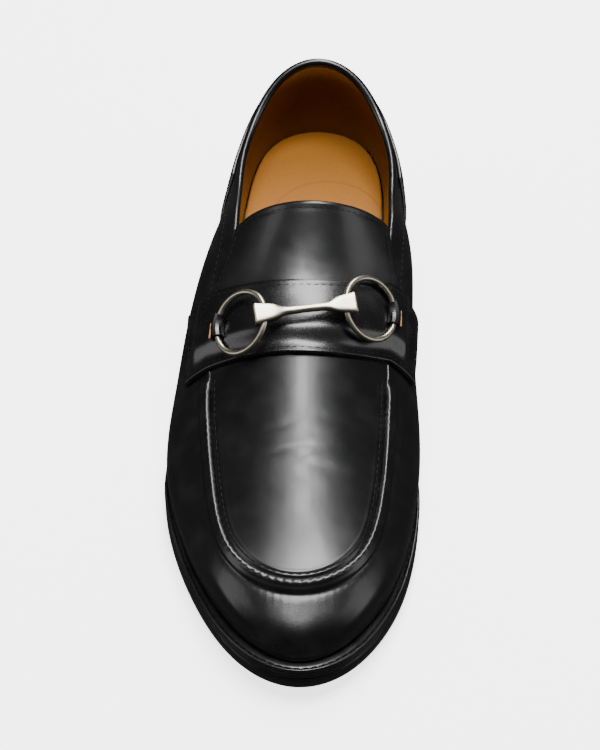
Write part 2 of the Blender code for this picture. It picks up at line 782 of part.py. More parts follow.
def make_bit(collection, cutters, strap):
    """Two rings, their tabs, and the bar whose ends are bored for them."""
    bores = []
    eyes = []
    for label in ("lateral", "medial"):
        place = ring_place(label)
        ring = add_torus("ring_" + label, collection, place, WIRE_RADIUS, 44)
        finish(ring, PALE_NICKEL, 0.30, 1.0)
        bores.append(add_torus("bore_" + label, cutters, place, WIRE_RADIUS + BORE_CLEARANCE, 44))
        eyes.append(eye_place(label))
        make_tab(collection, cutters, strap, label)
    finish(strap, BLACK_LEATHER, 0.30)

    along = unit(eyes[1] - eyes[0])
    slope = np.array([0.0, math.cos(bit_pitch()), math.sin(bit_pitch())])
    width_axis = unit(slope - along * (slope @ along))
    depth_axis = np.cross(along, width_axis)
    middle = (eyes[0] + eyes[1]) / 2
    turn = 2 * np.pi * (np.arange(16) + 0.5) / 16
    rings = []
    for x, width, thickness, squareness in bar_stations(np.linalg.norm(eyes[1] - eyes[0])):
        bulge = (np.abs(np.cos(turn))**squareness + np.abs(np.sin(turn))**squareness)**(-1 / squareness)
        across = np.outer(width / 2 * bulge * np.cos(turn), width_axis)
        depth = np.outer(thickness / 2 * bulge * np.sin(turn), depth_axis)
        rings.append(middle + x * along + across + depth)
    bar = loft("bar", collection, rings)
    for bore in bores:
        cut(bar, bore, "eye_" + bore.name)
    finish(bar, PALE_NICKEL, 0.30, 1.0)


def bar_stations(span):
    """The bar's sections between eyes that are span apart: place along it, width, thickness, squareness."""
    tip = span / 2 + BAR_END_LENGTH / 2
    neck = span / 2 - BAR_END_LENGTH / 2
    half = [
        (0.0, BAR_WAIST, BAR_WAIST, 2.0),
        (0.45 * neck, 1.05 * BAR_WAIST, 1.02 * BAR_WAIST, 2.2),
        (0.8 * neck, 0.42 * BAR_END_WIDTH, 0.85 * BAR_END_THICKNESS, 3.0),
        (neck, 0.62 * BAR_END_WIDTH, 0.97 * BAR_END_THICKNESS, 4.5),
        (0.5 * (neck + tip), 0.83 * BAR_END_WIDTH, BAR_END_THICKNESS, 6.0),
        (tip, BAR_END_WIDTH, BAR_END_THICKNESS, 6.0),
    ]
    other = [(-x, width, thickness, square) for x, width, thickness, square in half[:0:-1]]
    return other + half


def make_counter(collection):
    """Outside counter around the heel, its front edge leaning back."""
    rise = np.linspace(COUNTER_FOOT, COUNTER_TOP, 7)
    rows = []
    for v in rise:
        front = COUNTER_FRONT + COUNTER_RAKE * v
        trial = np.linspace(0.3, np.pi / 2, 200)
        ends = []
        for side in (1, -1):
            y = wall(side * trial, np.full(200, v))[:, 1]
            ends.append(side * np.interp(-front, -y, trial))
        rows.append(np.linspace(ends[0], ends[1], 25))
    angle = np.array(rows)
    v = np.broadcast_to(rise[:, None], angle.shape)
    across = wall(angle, v + SLOPE_STEP) - wall(angle, v - SLOPE_STEP)
    around = wall(angle + 1e-3, v) - wall(angle - 1e-3, v)
    points = wall(angle, v) + unit(np.cross(around, across)) * GAP
    faces = [face[::-1] for face in sheet_faces(len(rise), angle.shape[1])]
    counter = new_object("heel_counter", collection, points, faces)
    solidify(counter, COUNTER_THICKNESS, outwards=True)
    return finish(counter, BLACK_LEATHER, 0.28)


def main():
    for item in list(bpy.data.objects):
        bpy.data.objects.remove(item, do_unlink=True)
    parts = bpy.data.collections.new("bit_loafer")
    cutters = bpy.data.collections.new("cutters")
    bpy.context.scene.collection.children.link(parts)
    bpy.context.scene.collection.children.link(cutters)
    make_outsole(parts)
    make_welt(parts)
    make_insole(parts)
    make_heel(parts)
    make_upper(parts)
    make_counter(parts)
    make_tongue(parts)
    strap = make_strap(parts)
    make_bit(parts, cutters, strap)
    for cutter in cutters.objects:
        cutter.hide_render = True
        cutter.display_type = "WIRE"


main()
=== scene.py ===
# %% [markdown]
# A bit loafer in black calf
#
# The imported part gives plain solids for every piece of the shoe. This lesson
# keeps their places and dresses them: it builds the same curved surfaces again
# with many more points, adds the rolled apron seam, stitches, binding and
# lining, and gives each piece the finish of leather, thread or nickel.

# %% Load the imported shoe
import math

import bmesh
import bpy
import numpy as np
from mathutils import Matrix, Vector


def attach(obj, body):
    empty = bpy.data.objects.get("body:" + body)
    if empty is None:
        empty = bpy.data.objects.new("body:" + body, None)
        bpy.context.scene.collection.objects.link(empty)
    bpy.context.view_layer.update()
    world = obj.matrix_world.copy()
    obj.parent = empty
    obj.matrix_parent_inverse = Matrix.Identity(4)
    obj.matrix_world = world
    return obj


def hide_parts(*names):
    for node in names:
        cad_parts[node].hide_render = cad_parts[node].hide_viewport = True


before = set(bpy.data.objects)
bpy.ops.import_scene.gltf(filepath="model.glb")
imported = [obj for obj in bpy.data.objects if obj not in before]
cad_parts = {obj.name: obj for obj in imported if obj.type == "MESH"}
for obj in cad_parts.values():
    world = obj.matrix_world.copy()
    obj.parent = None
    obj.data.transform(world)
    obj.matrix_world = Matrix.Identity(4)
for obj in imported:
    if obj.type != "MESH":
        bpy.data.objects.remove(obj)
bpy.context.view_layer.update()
print("CAD nodes:", ", ".join(sorted(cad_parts)))

# %% [markdown]
# A product photo is taken from far away with a long lens, so that the shoe
# keeps its true proportions. The camera stands a metre and a half away, in
# front of the toe and 48 degrees above the floor, and looks at the shoe's
# middle.

# %% Camera
CAMERA_PLACE = Vector((0.0359, -1.0256, 1.1785))
CAMERA_AIM = Vector((0.0019, -0.0016, 0.0321))
LENS = 173.2              # millimetres, on a sensor 36 mm wide


def stand(thing, place):
    """Puts a camera or a lamp at a place, looking at the shoe's middle."""
    bpy.context.scene.collection.objects.link(thing)
    thing.location = place
    thing.rotation_euler = (CAMERA_AIM - Vector(place)).to_track_quat("-Z", "Y").to_euler()


camera_data = bpy.data.cameras.new("camera")
camera_data.lens = LENS
camera = bpy.data.objects.new("camera", camera_data)
stand(camera, CAMERA_PLACE)
bpy.context.scene.camera = camera
print("Camera stands", round((CAMERA_AIM - CAMERA_PLACE).length, 3), "m away")

# %% [markdown]
# Leather shows its shape by what it reflects. A tall softbox behind the heel
# and a broad one overhead draw the long highlights, two weak ones light the
# sides, and a dim world keeps the rest of the leather nearly black. The floor
# is a plain pale sheet, attached to none of the shoe's bodies.
# It is kept out of reflections, as black cards beside the shoe do in a
# studio, because a white sheet mirrored in the sides would turn them grey.

# %% Light and floor
LAMPS = [                 # name, place, size, power in watts
    ("key", (0.09, 0.95, 1.15), (0.24, 1.20), 30.0),
    ("fill", (-1.40, -0.20, 0.55), (0.50, 1.60), 7.0),
    ("rim", (1.40, -0.20, 0.55), (0.50, 1.60), 7.0),
    ("top", (0.08, 0.05, 1.50), (0.46, 0.80), 40.0),
]
WHITE = (1, 1, 1, 1)
WORLD_LIGHT = 0.06
FLOOR_SIZE = 6.0
FLOOR_LEVEL = -0.0002
FLOOR_COLOUR = (0.93, 0.93, 0.935, 1)
FLOOR_ROUGHNESS = 0.7
FLOOR_GLOW = 2.6          # the paper is lit from below as well, so that it stays white

for name, place, (width, height), power in LAMPS:
    data = bpy.data.lights.new(name, "AREA")
    data.shape = "RECTANGLE"
    data.size = width
    data.size_y = height
    data.energy = power
    stand(bpy.data.objects.new(name, data), place)

world = bpy.data.worlds.new("studio")
world.use_nodes = True
sky = world.node_tree.nodes["Background"].inputs
sky["Color"].default_value = WHITE
sky["Strength"].default_value = WORLD_LIGHT
bpy.context.scene.world = world

bpy.ops.mesh.primitive_plane_add(size=FLOOR_SIZE, location=(0, 0, FLOOR_LEVEL))
floor = bpy.context.object
floor.name = "floor"
floor_paper = bpy.data.materials.new("floor_paper")
floor_paper.use_nodes = True
paper = floor_paper.node_tree.nodes["Principled BSDF"].inputs
paper["Base Color"].default_value = FLOOR_COLOUR
paper["Roughness"].default_value = FLOOR_ROUGHNESS
paper["Emission Color"].default_value = WHITE
paper["Emission Strength"].default_value = FLOOR_GLOW
floor.data.materials.append(floor_paper)
floor.visible_glossy = False
print("Lamps:", [lamp[0] for lamp in LAMPS])

# %% [markdown]
# The shoe's sizes and its tables of shares are the ones that the solids were
# made from. A real last is measured the same way: a length, a ball width and
# a few girths, with its outline given as shares of them.

# %% Sizes
SOLE_LENGTH = 0.298
SOLE_WIDTH = 0.108
OUTSOLE_THICKNESS = 0.0061
WELT_THICKNESS = 0.0055
TOE_REACH = 0.0047        # how far the welt stands out from the upper
SIDE_REACH = 0.0034
SEAT_REACH = 0.0026
WELT_STRIP = 0.0130       # width of the welt strip
TOP_LIFT_THICKNESS = 0.0060
HEEL_STACK_HEIGHT = 0.0139
HEEL_BREAST = 0.0740      # from the heel's back to its straight front
HEEL_TAPER = 0.0024
TOE_SPRING = 0.0070
SPRING_START = 0.75       # share of the length from the heel
SPRING_BEND = 1.9         # power that its height grows with
ARCH_END = 0.62           # share of the length where the arch meets the ball
ARCH_SPAN = 0.36
SEAT_TO_SIDE = (0.12, 0.25)    # share of the length where the reach changes, and over which
SIDE_TO_TOE = (0.80, 0.20)

# Upper
UPPER_WALL = 0.0020
SKIN_THICKNESS = 0.55 * UPPER_WALL    # of the sheets that are drawn for it
BACK_HEIGHT = 0.0490      # collar's height at the back, above the welt
COLLAR_WIDTH = 0.0740
COLLAR_LEAN = 0.0078      # how far the collar's back lies inside the sole's
APRON_SETBACK = 0.0290    # from the sole's toe to the apron seam's front
TONGUE_THICKNESS = 0.0022
TONGUE_TIP = 0.0475       # y of the tongue's end on the middle line
TONGUE_CORNER = 0.0060    # how far its corners are rounded back
TONGUE_WRAP = 0.10        # how far the tongue's edges run down the sides
COUNTER_THICKNESS = 0.0012
COUNTER_FRONT = 0.0600    # y of the counter's front edge at the welt
COUNTER_RAKE = 0.0400     # how far that edge leans back at the top
COUNTER_FOOT = 0.045      # shares of the wall from the welt up
COUNTER_TOP = 0.84

# Strap and bit
STRAP_WIDTH = 0.0332
STRAP_MIDDLE = 0.0014     # y of the strap's middle on the middle line
STRAP_THICKNESS = 0.0021
RING_RADIUS = 0.0134      # to the middle of the wire
WIRE_RADIUS = 0.00122
RING_SPOTS = {            # a ring's middle: y from the strap's middle, share across, height off the strap
    "lateral": (-0.0037, -0.580, 0.0039),
    "medial": (0.0033, 0.707, 0.00315),
}
RING_DIP = math.radians(14.8)     # both rings dip outwards by this more than the strap does
RING_PITCH = math.radians(2.3)    # and rise by this more than the instep does
BAR_END_LENGTH = 0.0096
BAR_END_WIDTH = 0.0096
BAR_END_THICKNESS = 0.0044
BAR_WAIST = 0.0032
EYE_TURNS = {             # how far uphill from straight inwards each ring meets the bar
    "lateral": math.radians(6.0),
    "medial": math.radians(-5.0),
}
TAB_TURN = math.radians(5.0)      # tabs sit a little up the slope from the outermost wire
TAB_SWEEP = math.radians(22.0)    # half of the wire's arc under a tab
TAB_OUTER_FOOT = 0.0042

GAP = 0.0003              # between pieces that touch
BORE_CLEARANCE = 0.0003   # around the wire in its eyes and tabs

HEEL_HEIGHT = TOP_LIFT_THICKNESS + HEEL_STACK_HEIGHT + 2 * GAP
WELT_FOOT = OUTSOLE_THICKNESS + GAP
UPPER_FOOT = WELT_FOOT + WELT_THICKNESS + GAP
UPPER_BACK = SOLE_LENGTH / 2 - COLLAR_LEAN
COLLAR_LENGTH = SOLE_LENGTH - COLLAR_LEAN - APRON_SETBACK

SLOPE_STEP = 0.02         # share of a wall's height over which its slope is taken
ANGLE_STEP = 1e-3         # and the angle for its direction along the shoe
PLAN_STEP = 1e-4          # angle over which a plan curve's direction is taken
SEARCH_ROUNDS = 6         # steps of a search for the cross curve through a point

# %% Tables of the last
# Sole's plan. Share of the length from the heel; middle line and half width
# before the ends are rounded, as shares of half the sole's width.
SOLE_ROWS = [
    (0.00, 0.110, 1.300), (0.07, 0.108, 1.070), (0.15, 0.100, 0.890), (0.25, 0.068, 0.772),
    (0.35, 0.018, 0.742), (0.45, -0.020, 0.800), (0.55, -0.018, 0.910), (0.65, -0.002, 1.040),
    (0.75, 0.033, 1.087), (0.85, 0.076, 1.097), (0.93, 0.095, 1.097), (1.00, 0.108, 1.100),
]

# Top edge's plan: collar, then apron seam. Share of its length from the heel;
# middle line and half width as shares of half the collar's width.
TOP_ROWS = [
    (0.00, 0.150, 1.600), (0.07, 0.160, 1.410), (0.16, 0.165, 1.225), (0.25, 0.160, 1.060),
    (0.31, 0.160, 1.000), (0.36, 0.150, 0.958), (0.44, 0.092, 0.945), (0.53, 0.055, 0.985),
    (0.60, 0.047, 1.030), (0.70, 0.062, 1.080), (0.79, 0.084, 1.155), (0.89, 0.100, 1.330),
    (0.95, 0.106, 1.490), (1.00, 0.110, 1.600),
]

# Height of that edge above the welt. Share of the sole's length; share of the
# collar's height at the back.
EDGE_ROWS = [
    (0.026, 1.000), (0.097, 0.704), (0.164, 0.602), (0.232, 0.612), (0.282, 0.682), (0.326, 0.739),
    (0.409, 0.694), (0.491, 0.630), (0.550, 0.620), (0.601, 0.616), (0.715, 0.590), (0.836, 0.565),
    (0.903, 0.544),
]

# Height of the upper's middle line above the welt, in the same shares.
SPINE_ROWS = [
    (0.326, 1.239), (0.346, 1.169), (0.393, 1.035), (0.441, 0.953), (0.500, 0.932), (0.555, 0.935),
    (0.601, 0.922), (0.701, 0.816), (0.802, 0.714), (0.869, 0.612), (0.903, 0.544),
]

# How far each cross curve leans back on its way down, as a share of its drop.
# Share of the sole's length; lateral side, medial side.
TILT_ROWS = [
    (0.000, 0.00, 0.00), (0.200, 0.10, 0.10), (0.315, 0.25, 0.33), (0.433, 0.27, 0.62),
    (0.533, 0.19, 0.53), (0.668, 0.16, 0.40), (0.802, 0.14, 0.21), (0.903, 0.00, 0.00),
]

# Side walls. Share around; lean at the welt in degrees, lateral and medial;
# length of that pull; slope at the top edge in degrees; length of that pull.
WALL_ROWS = [
    (0.00, 12, 12, 0.35, 74, 0.35), (0.12, 20, 24, 0.42, 70, 0.38), (0.25, 34, 42, 0.50, 58, 0.46),
    (0.35, 40, 50, 0.55, 48, 0.52), (0.45, 38, 52, 0.55, 44, 0.54), (0.55, 32, 46, 0.50, 42, 0.52),
    (0.65, 26, 30, 0.45, 42, 0.48), (0.75, 20, 20, 0.42, 43, 0.44), (0.90, 12, 12, 0.45, 40, 0.45),
    (1.00, 5, 5, 0.50, 38, 0.45),
]

# How far the strap's ends run down the sides, front and back edge.
STRAP_ENDS = [(1.26, 1.40), (1.32, 1.50)]

# %% [markdown]
# Every surface is worked out from curves. A natural cubic curve runs through
# each table: between two rows its bend changes evenly, so that the outline
# has no corners. The functions take whole arrays, which lets numpy work out
# a hundred thousand points at once without a loop over points.

# %% Curves through the tables
def smooth(rows, column, where):
    """Natural cubic curve through one column of a table, over its first column."""
    table = np.array(rows, float)
    x, y = table[:, 0], table[:, column]
    where = np.clip(where, x[0], x[-1])
    step = np.diff(x)
    system = np.eye(len(x))
    right = np.zeros(len(x))
    for i in range(1, len(x) - 1):
        system[i, i - 1:i + 2] = step[i - 1], 2 * (step[i - 1] + step[i]), step[i]
        right[i] = 6 * ((y[i + 1] - y[i]) / step[i] - (y[i] - y[i - 1]) / step[i - 1])
    bend = np.linalg.solve(system, right)
    i = np.clip(np.searchsorted(x, where) - 1, 0, len(x) - 2)
    near = (x[i + 1] - where) / step[i]
    far = 1 - near
    pull = (near**3 - near) * bend[i] + (far**3 - far) * bend[i + 1]
    return near * y[i] + far * y[i + 1] + pull * step[i]**2 / 6


def ease(share):
    """0 to 1 with level ends."""
    share = np.clip(share, 0, 1)
    return share * share * (3 - 2 * share)


def ramp(value, start, over):
    """0 up to a start, then eased to 1 over a stretch."""
    return ease((value - start) / over)


def unit(vectors):
    return vectors / np.linalg.norm(vectors, axis=-1, keepdims=True)


def with_height(plan, height):
    return np.concatenate([plan, np.asarray(height)[..., None]], -1)


def share_along(angle):
    """Share of the length from heel to toe at an angle around the shoe."""
    return (1 - np.cos(angle)) / 2


def closed_plan(angle, rows, width, back, length):
    share = share_along(angle)
    x = width / 2 * (smooth(rows, 1, share) - smooth(rows, 2, share) * np.sin(angle))
    return np.stack([x, back - length * share], -1)


def outward(angle, *curve):
    """Unit vectors that point out of a closed plan curve."""
    along = unit(closed_plan(angle + PLAN_STEP, *curve) - closed_plan(angle - PLAN_STEP, *curve))
    return np.stack([along[..., 1], -along[..., 0]], -1)


SOLE_CURVE = (SOLE_ROWS, SOLE_WIDTH, SOLE_LENGTH / 2, SOLE_LENGTH)
TOP_CURVE = (TOP_ROWS, COLLAR_WIDTH, UPPER_BACK, COLLAR_LENGTH)
print("Sole at its widest rows:", max(row[2] for row in SOLE_ROWS))

# %% [markdown]
# The sole's edge is a closed curve of one angle, 0 at the heel and pi at the
# toe. The wall of the upper rises from it to the collar and the apron seam
# as a cubic curve, which leans out at the welt and in at the top.

# %% Sole, wall and instep
def sole_plan(angle, inset=0.0):
    """Plan of the sole's edge, moved in by a distance."""
    return closed_plan(angle, *SOLE_CURVE) - outward(angle, *SOLE_CURVE) * np.asarray(inset)[..., None]


def tread(y):
    """Height of the outsole's underside: heel, arch, level ball, toe spring."""
    share = 0.5 - y / SOLE_LENGTH
    toe = TOE_SPRING * np.clip((share - SPRING_START) / (1 - SPRING_START), 0, 1)**SPRING_BEND
    return toe + HEEL_HEIGHT * ease((ARCH_END - share) / ARCH_SPAN)


def reach(angle):
    """How far the sole stands out from the upper."""
    share = share_along(angle)
    side = SEAT_REACH + (SIDE_REACH - SEAT_REACH) * ramp(share, *SEAT_TO_SIDE)
    return side + (TOE_REACH - SIDE_REACH) * ramp(share, *SIDE_TO_TOE)


def sole_ring(angle, inset, height, level=None):
    """A ring of points around the sole, at a height above its underside or at a level."""
    plan = sole_plan(angle, inset)
    return with_height(plan, tread(plan[..., 1]) + height if level is None else level + 0 * plan[..., 1])


def upper_foot(angle):
    """The upper's bottom edge."""
    return sole_ring(angle, reach(angle), UPPER_FOOT)


def above_welt(rows, y):
    return tread(y) + UPPER_FOOT + BACK_HEIGHT * smooth(rows, 1, 0.5 - y / SOLE_LENGTH)


def top_edge(angle):
    """The collar's edge, which runs on as the apron seam."""
    plan = closed_plan(angle, *TOP_CURVE)
    return with_height(plan, above_welt(EDGE_ROWS, plan[..., 1]))


def wall(angle, rise):
    """Point of the upper's side, rise 0 at the welt and 1 at the top edge: a cubic curve between them."""
    angle, rise = np.broadcast_arrays(angle, rise)
    foot, top = upper_foot(angle), top_edge(angle)
    share = share_along(angle)
    medial = (1 - np.sign(np.sin(angle))) / 2
    lean = np.radians(smooth(WALL_ROWS, 1, share) * (1 - medial) + smooth(WALL_ROWS, 2, share) * medial)
    slope = np.radians(smooth(WALL_ROWS, 4, share))
    chord = np.linalg.norm(top - foot, axis=-1)
    out_low = outward(angle, *SOLE_CURVE) * np.sin(lean)[..., None]
    out_high = outward(angle, *TOP_CURVE) * np.cos(slope)[..., None]
    low = foot + with_height(out_low, np.cos(lean)) * (smooth(WALL_ROWS, 3, share) * chord)[..., None]
    high = top + with_height(out_high, -np.sin(slope)) * (smooth(WALL_ROWS, 5, share) * chord)[..., None]
    v = rise[..., None]
    return (1 - v)**3 * foot + 3 * (1 - v)**2 * v * low + 3 * (1 - v) * v**2 * high + v**3 * top


def wall_normal(angle, rise):
    """Unit vectors off the upper's side."""
    up = wall(angle, rise + SLOPE_STEP) - wall(angle, rise - SLOPE_STEP)
    along = wall(angle + ANGLE_STEP, rise) - wall(angle - ANGLE_STEP, rise)
    return unit(np.cross(along, up))


def edge_angle(y_edge):
    return np.arccos(np.clip(1 - 2 * (UPPER_BACK - y_edge) / COLLAR_LENGTH, -1, 1))


def spine_of_edge(y_edge, side):
    """Where the cross curve from an edge point meets the middle line."""
    drop = above_welt(SPINE_ROWS, y_edge) - above_welt(EDGE_ROWS, y_edge)
    return y_edge - drop * smooth(TILT_ROWS, 1 if side < 0 else 2, 0.5 - y_edge / SOLE_LENGTH)


def angle_of_spine(y_spine, side):
    """Angle of the top edge whose cross curve meets the middle line at y_spine."""
    y_edge = np.linspace(UPPER_BACK - COLLAR_LENGTH, UPPER_BACK, 600)
    return -side * edge_angle(np.interp(y_spine, spine_of_edge(y_edge, side), y_edge))


def spine_point(y):
    """Middle line of plug and tongue."""
    share = np.clip((UPPER_BACK - y) / COLLAR_LENGTH, 0, 1)
    x = COLLAR_WIDTH / 2 * smooth(TOP_ROWS, 1, share)
    return np.stack([x, y, above_welt(SPINE_ROWS, y)], -1)


def skin(y_spine, across):
    """Point of the instep's surface on the cross curve through y_spine.

    across is 0 on the middle line and -1 or 1 at the top edge, where the curve
    is a parabola; from there to -2 or 2 it runs down the side wall.
    """
    y_spine, across = np.broadcast_arrays(np.asarray(y_spine, float), np.asarray(across, float))
    middle = spine_point(y_spine)
    size = np.minimum(np.abs(across), 1)[..., None]
    blend = np.concatenate([size, size**2, size**2], -1)
    rise = 1 - np.clip(np.abs(across) - 1, 0, 1)
    sides = []
    for side in (-1, 1):
        angle = angle_of_spine(y_spine, side)
        arch = middle + (top_edge(angle) - middle) * blend
        sides.append(np.where((np.abs(across) > 1)[..., None], wall(angle, rise), arch))
    return np.where((across < 0)[..., None], sides[0], sides[1])


def over_skin(y_spine, across, lift):
    """Point of the instep's surface raised along its normal."""
    step_y, step_across = 5e-4, 0.02
    along = skin(y_spine + step_y, across) - skin(y_spine - step_y, across)
    sideways = skin(y_spine, across + step_across) - skin(y_spine, across - step_across)
    return skin(y_spine, across) + unit(np.cross(sideways, along)) * np.asarray(lift)[..., None]


def crown(plan):
    """The plug's point over a point of its plan."""
    y_spine = plan[..., 1]
    for _ in range(SEARCH_ROUNDS):
        middle = spine_point(y_spine)
        medial = (plan[..., 0] > middle[..., 0])[..., None]
        edge = np.where(medial, top_edge(angle_of_spine(y_spine, 1)), top_edge(angle_of_spine(y_spine, -1)))
        half = np.maximum(np.abs(edge[..., 0] - middle[..., 0]), 1e-6)
        share = np.clip(np.abs(plan[..., 0] - middle[..., 0]) / half, 0, 1)**2
        y_spine = plan[..., 1] - (edge[..., 1] - y_spine) * share
    return with_height(plan, middle[..., 2] + (edge[..., 2] - middle[..., 2]) * share)


print("Collar's back is", round(float(top_edge(np.array([0.0]))[0, 2]) * 1000, 1), "mm high")

# %% [markdown]
# A grid of points becomes a mesh by joining each point to its neighbours. The
# helper also measures the grid: the distance run along each row and up each
# column goes into a UV map, so that a pattern on it is in metres.

# %% From a grid to a mesh
WELD = 2e-6


def run_length(points, axis, wrap):
    """Distance covered from the first point, along one axis of a grid."""
    first = np.take(points, [0], axis=axis)
    ends = {"append": first} if wrap else {}
    steps = np.linalg.norm(np.diff(points, axis=axis, **ends), axis=-1)
    shape = list(steps.shape)
    shape[axis] = 1
    return np.concatenate([np.zeros(shape), np.cumsum(steps, axis=axis)], axis)


def grid_normals(points, wrap=False):
    """Outward unit vectors: the direction along the rows crossed with the direction up the columns."""
    along = np.roll(points, -1, 1) - np.roll(points, 1, 1) if wrap else np.gradient(points, axis=1)
    return unit(np.cross(along, np.gradient(points, axis=0)))


def dress(piece, material, body="shoe", replaces=()):
    """Gives a piece its finish, its body and the solids that it stands for."""
    piece.data.materials.clear()
    piece.data.materials.append(material)
    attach(piece, body)
    if replaces:
        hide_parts(*replaces)
    return piece


def thicken(piece, thickness):
    """Makes a sheet thicker inwards, behind its drawn face."""
    shell = piece.modifiers.new("thickness", "SOLIDIFY")
    shell.thickness = thickness
    shell.offset = -1


def add_mesh(name, points, faces, corners=None, weld=0.0, closed=False):
    """A smooth mesh from points and faces; corners are the UV values of each face's corners."""
    mesh = bpy.data.meshes.new(name)
    mesh.from_pydata(np.reshape(points, (-1, 3)).tolist(), [], [list(face) for face in faces])
    if corners is not None:
        layer = mesh.uv_layers.new(name="length")
        layer.data.foreach_set("uv", np.ravel(corners))
    if weld or closed:
        work = bmesh.new()
        work.from_mesh(mesh)
        if weld:
            bmesh.ops.remove_doubles(work, verts=work.verts, dist=weld)
        if closed:
            bmesh.ops.recalc_face_normals(work, faces=work.faces)
        work.to_mesh(mesh)
        work.free()
    mesh.update()
    mesh.shade_smooth()
    piece = bpy.data.objects.new(name, mesh)
    bpy.context.scene.collection.objects.link(piece)
    return piece


def quads(rows, columns, wrap=False):
    """Corner numbers of a grid's faces, seen from outside with columns running right and rows up."""
    last = columns if wrap else columns - 1
    r, c = np.meshgrid(np.arange(rows - 1), np.arange(last), indexing="ij")
    right = (c + 1) % columns
    faces = [r * columns + c, r * columns + right, (r + 1) * columns + right, (r + 1) * columns + c]
    return np.stack(faces, -1).reshape(-1, 4)


def add_grid(name, points, wrap=False, weld=0.0, closed=False):
    """A mesh from a grid of points, with its lengths as UV map."""
    rows, columns = points.shape[:2]
    u, v = run_length(points, 1, wrap), run_length(points, 0, False)
    if wrap:
        v = np.concatenate([v, v[:, :1]], 1)
    corner = quads(rows, u.shape[1])
    uv = np.stack([u.ravel()[corner], v.ravel()[corner]], -1)
    return add_mesh(name, points, quads(rows, columns, wrap), uv, weld, closed)


print("A 3 by 4 grid has", len(quads(3, 4)), "faces")

# %% [markdown]
# Materials are small programs of nodes. Written as Python, node maths reads
# like arithmetic: a Term holds one socket, and adding or multiplying Terms
# adds the Math nodes that do it. One method, make, adds any other node.

# %% Node maths as Python
class Term:
    """A socket that takes part in arithmetic."""

    def __init__(self, shader, socket):
        self.shader, self.socket = shader, socket

    def math(self, operation, first, second):
        return self.shader.make("ShaderNodeMath", {"operation": operation}, {0: first, 1: second})

    def __add__(self, other):
        return self.math("ADD", self, other)

    def __sub__(self, other):
        return self.math("SUBTRACT", self, other)

    def __mul__(self, other):
        return self.math("MULTIPLY", self, other)

    __radd__ = __add__
    __rmul__ = __mul__


class Shader:
    """A material being written."""

    def __init__(self, name):
        self.material = bpy.data.materials.new(name)
        self.material.use_nodes = True
        self.tree = self.material.node_tree
        self.surface = self.tree.nodes["Principled BSDF"]

    def make(self, kind, settings=(), inputs=(), output=0):
        """Adds a node: its settings first, then the values or links of its sockets."""
        node = self.tree.nodes.new(kind)
        for name, value in dict(settings).items():
            setattr(node, name, value)
        for name, value in dict(inputs).items():
            self.give(node.inputs[name], value)
        return Term(self, node.outputs[output])

    def give(self, socket, value):
        if isinstance(value, Term):
            self.tree.links.new(value.socket, socket)
        else:
            socket.default_value = value

    def set(self, **values):
        """Sets or links the main shader's sockets, their names written with underscores."""
        for name, value in values.items():
            self.give(self.surface.inputs[name.replace("_", " ")], value)
        return self

    def place(self):
        return self.make("ShaderNodeTexCoord", output="Object")

    def noise(self, scale, detail=2.0):
        """Soft random values about 0.5, that change over 1 / scale metres."""
        inputs = {"Vector": self.place(), "Scale": scale, "Detail": detail}
        return self.make("ShaderNodeTexNoise", {}, inputs)

    def step(self, value, low, high):
        """0 below low, 1 above high, eased between."""
        settings = {"interpolation_type": "SMOOTHSTEP"}
        inputs = {"Value": value, "From Min": low, "From Max": high}
        return self.make("ShaderNodeMapRange", settings, inputs)

    def mix(self, share, first, second):
        """A colour between two, by share. The node's sockets 6, 7 and 2 are those for colours."""
        return self.make("ShaderNodeMix", {"data_type": "RGBA"}, {0: share, 6: first, 7: second}, 2)

    def bump(self, height, distance, strength=1.0):
        """A normal that shows a height, given in units of a distance."""
        inputs = {"Height": height, "Distance": distance, "Strength": strength}
        return self.make("ShaderNodeBump", {}, inputs)

    def axis(self, letter):
        """One of the object's coordinates, in metres."""
        return self.make("ShaderNodeSeparateXYZ", {}, {0: self.place()}, output=letter)


print("Node maths is ready")

# %% [markdown]
# Polished box calf is dyed black and finished with a thin clear film. The
# colour is nearly black, the film is a coat, and its grain is so fine that it
# only softens the highlight. A second, broad noise lets the light wander as
# it does on leather stretched by hand.

# %% Leathers
INK = (0.0016, 0.0016, 0.0018, 1)
INK_WORN = (0.0032, 0.0031, 0.0031, 1)
TAN = (0.25, 0.092, 0.009, 1)
TAN_DEEP = (0.155, 0.054, 0.006, 1)
TAN_PALE = (0.32, 0.135, 0.020, 1)

PAD_MIDDLE = (0.0110, 0.0870, 0.0350)    # of the heel pad's rounded back
PAD_RADIUS = 0.0250
PAD_LINE = 0.0010

# Scales of the noises are per metre, heights of the grain in millimetres.
GRAIN_SCALE = 2300
GRAIN_HEIGHT = 0.035
WAVE_SCALE = 95
STAIN_SCALE = 60
FLECK_SCALE = 900
MILLIMETRE = 0.001


def calf_leather(name, roughness, coat, wave):
    """Black leather; wave is the depth of its broad unevenness in metres."""
    shader = Shader(name)
    grain = shader.noise(GRAIN_SCALE)
    broad = shader.noise(WAVE_SCALE, 1.5)
    colour = shader.mix(shader.step(broad, 0.45, 0.75), INK, INK_WORN)
    height = grain * GRAIN_HEIGHT + broad * (wave / MILLIMETRE)
    shader.set(
        Base_Color=colour,
        Roughness=roughness + (grain - 0.5) * 0.10 + (broad - 0.5) * 0.12,
        Normal=shader.bump(height, MILLIMETRE),
        Coat_Weight=coat,
        Coat_Roughness=0.12,
        Specular_IOR_Level=0.42,
    )
    return shader.material


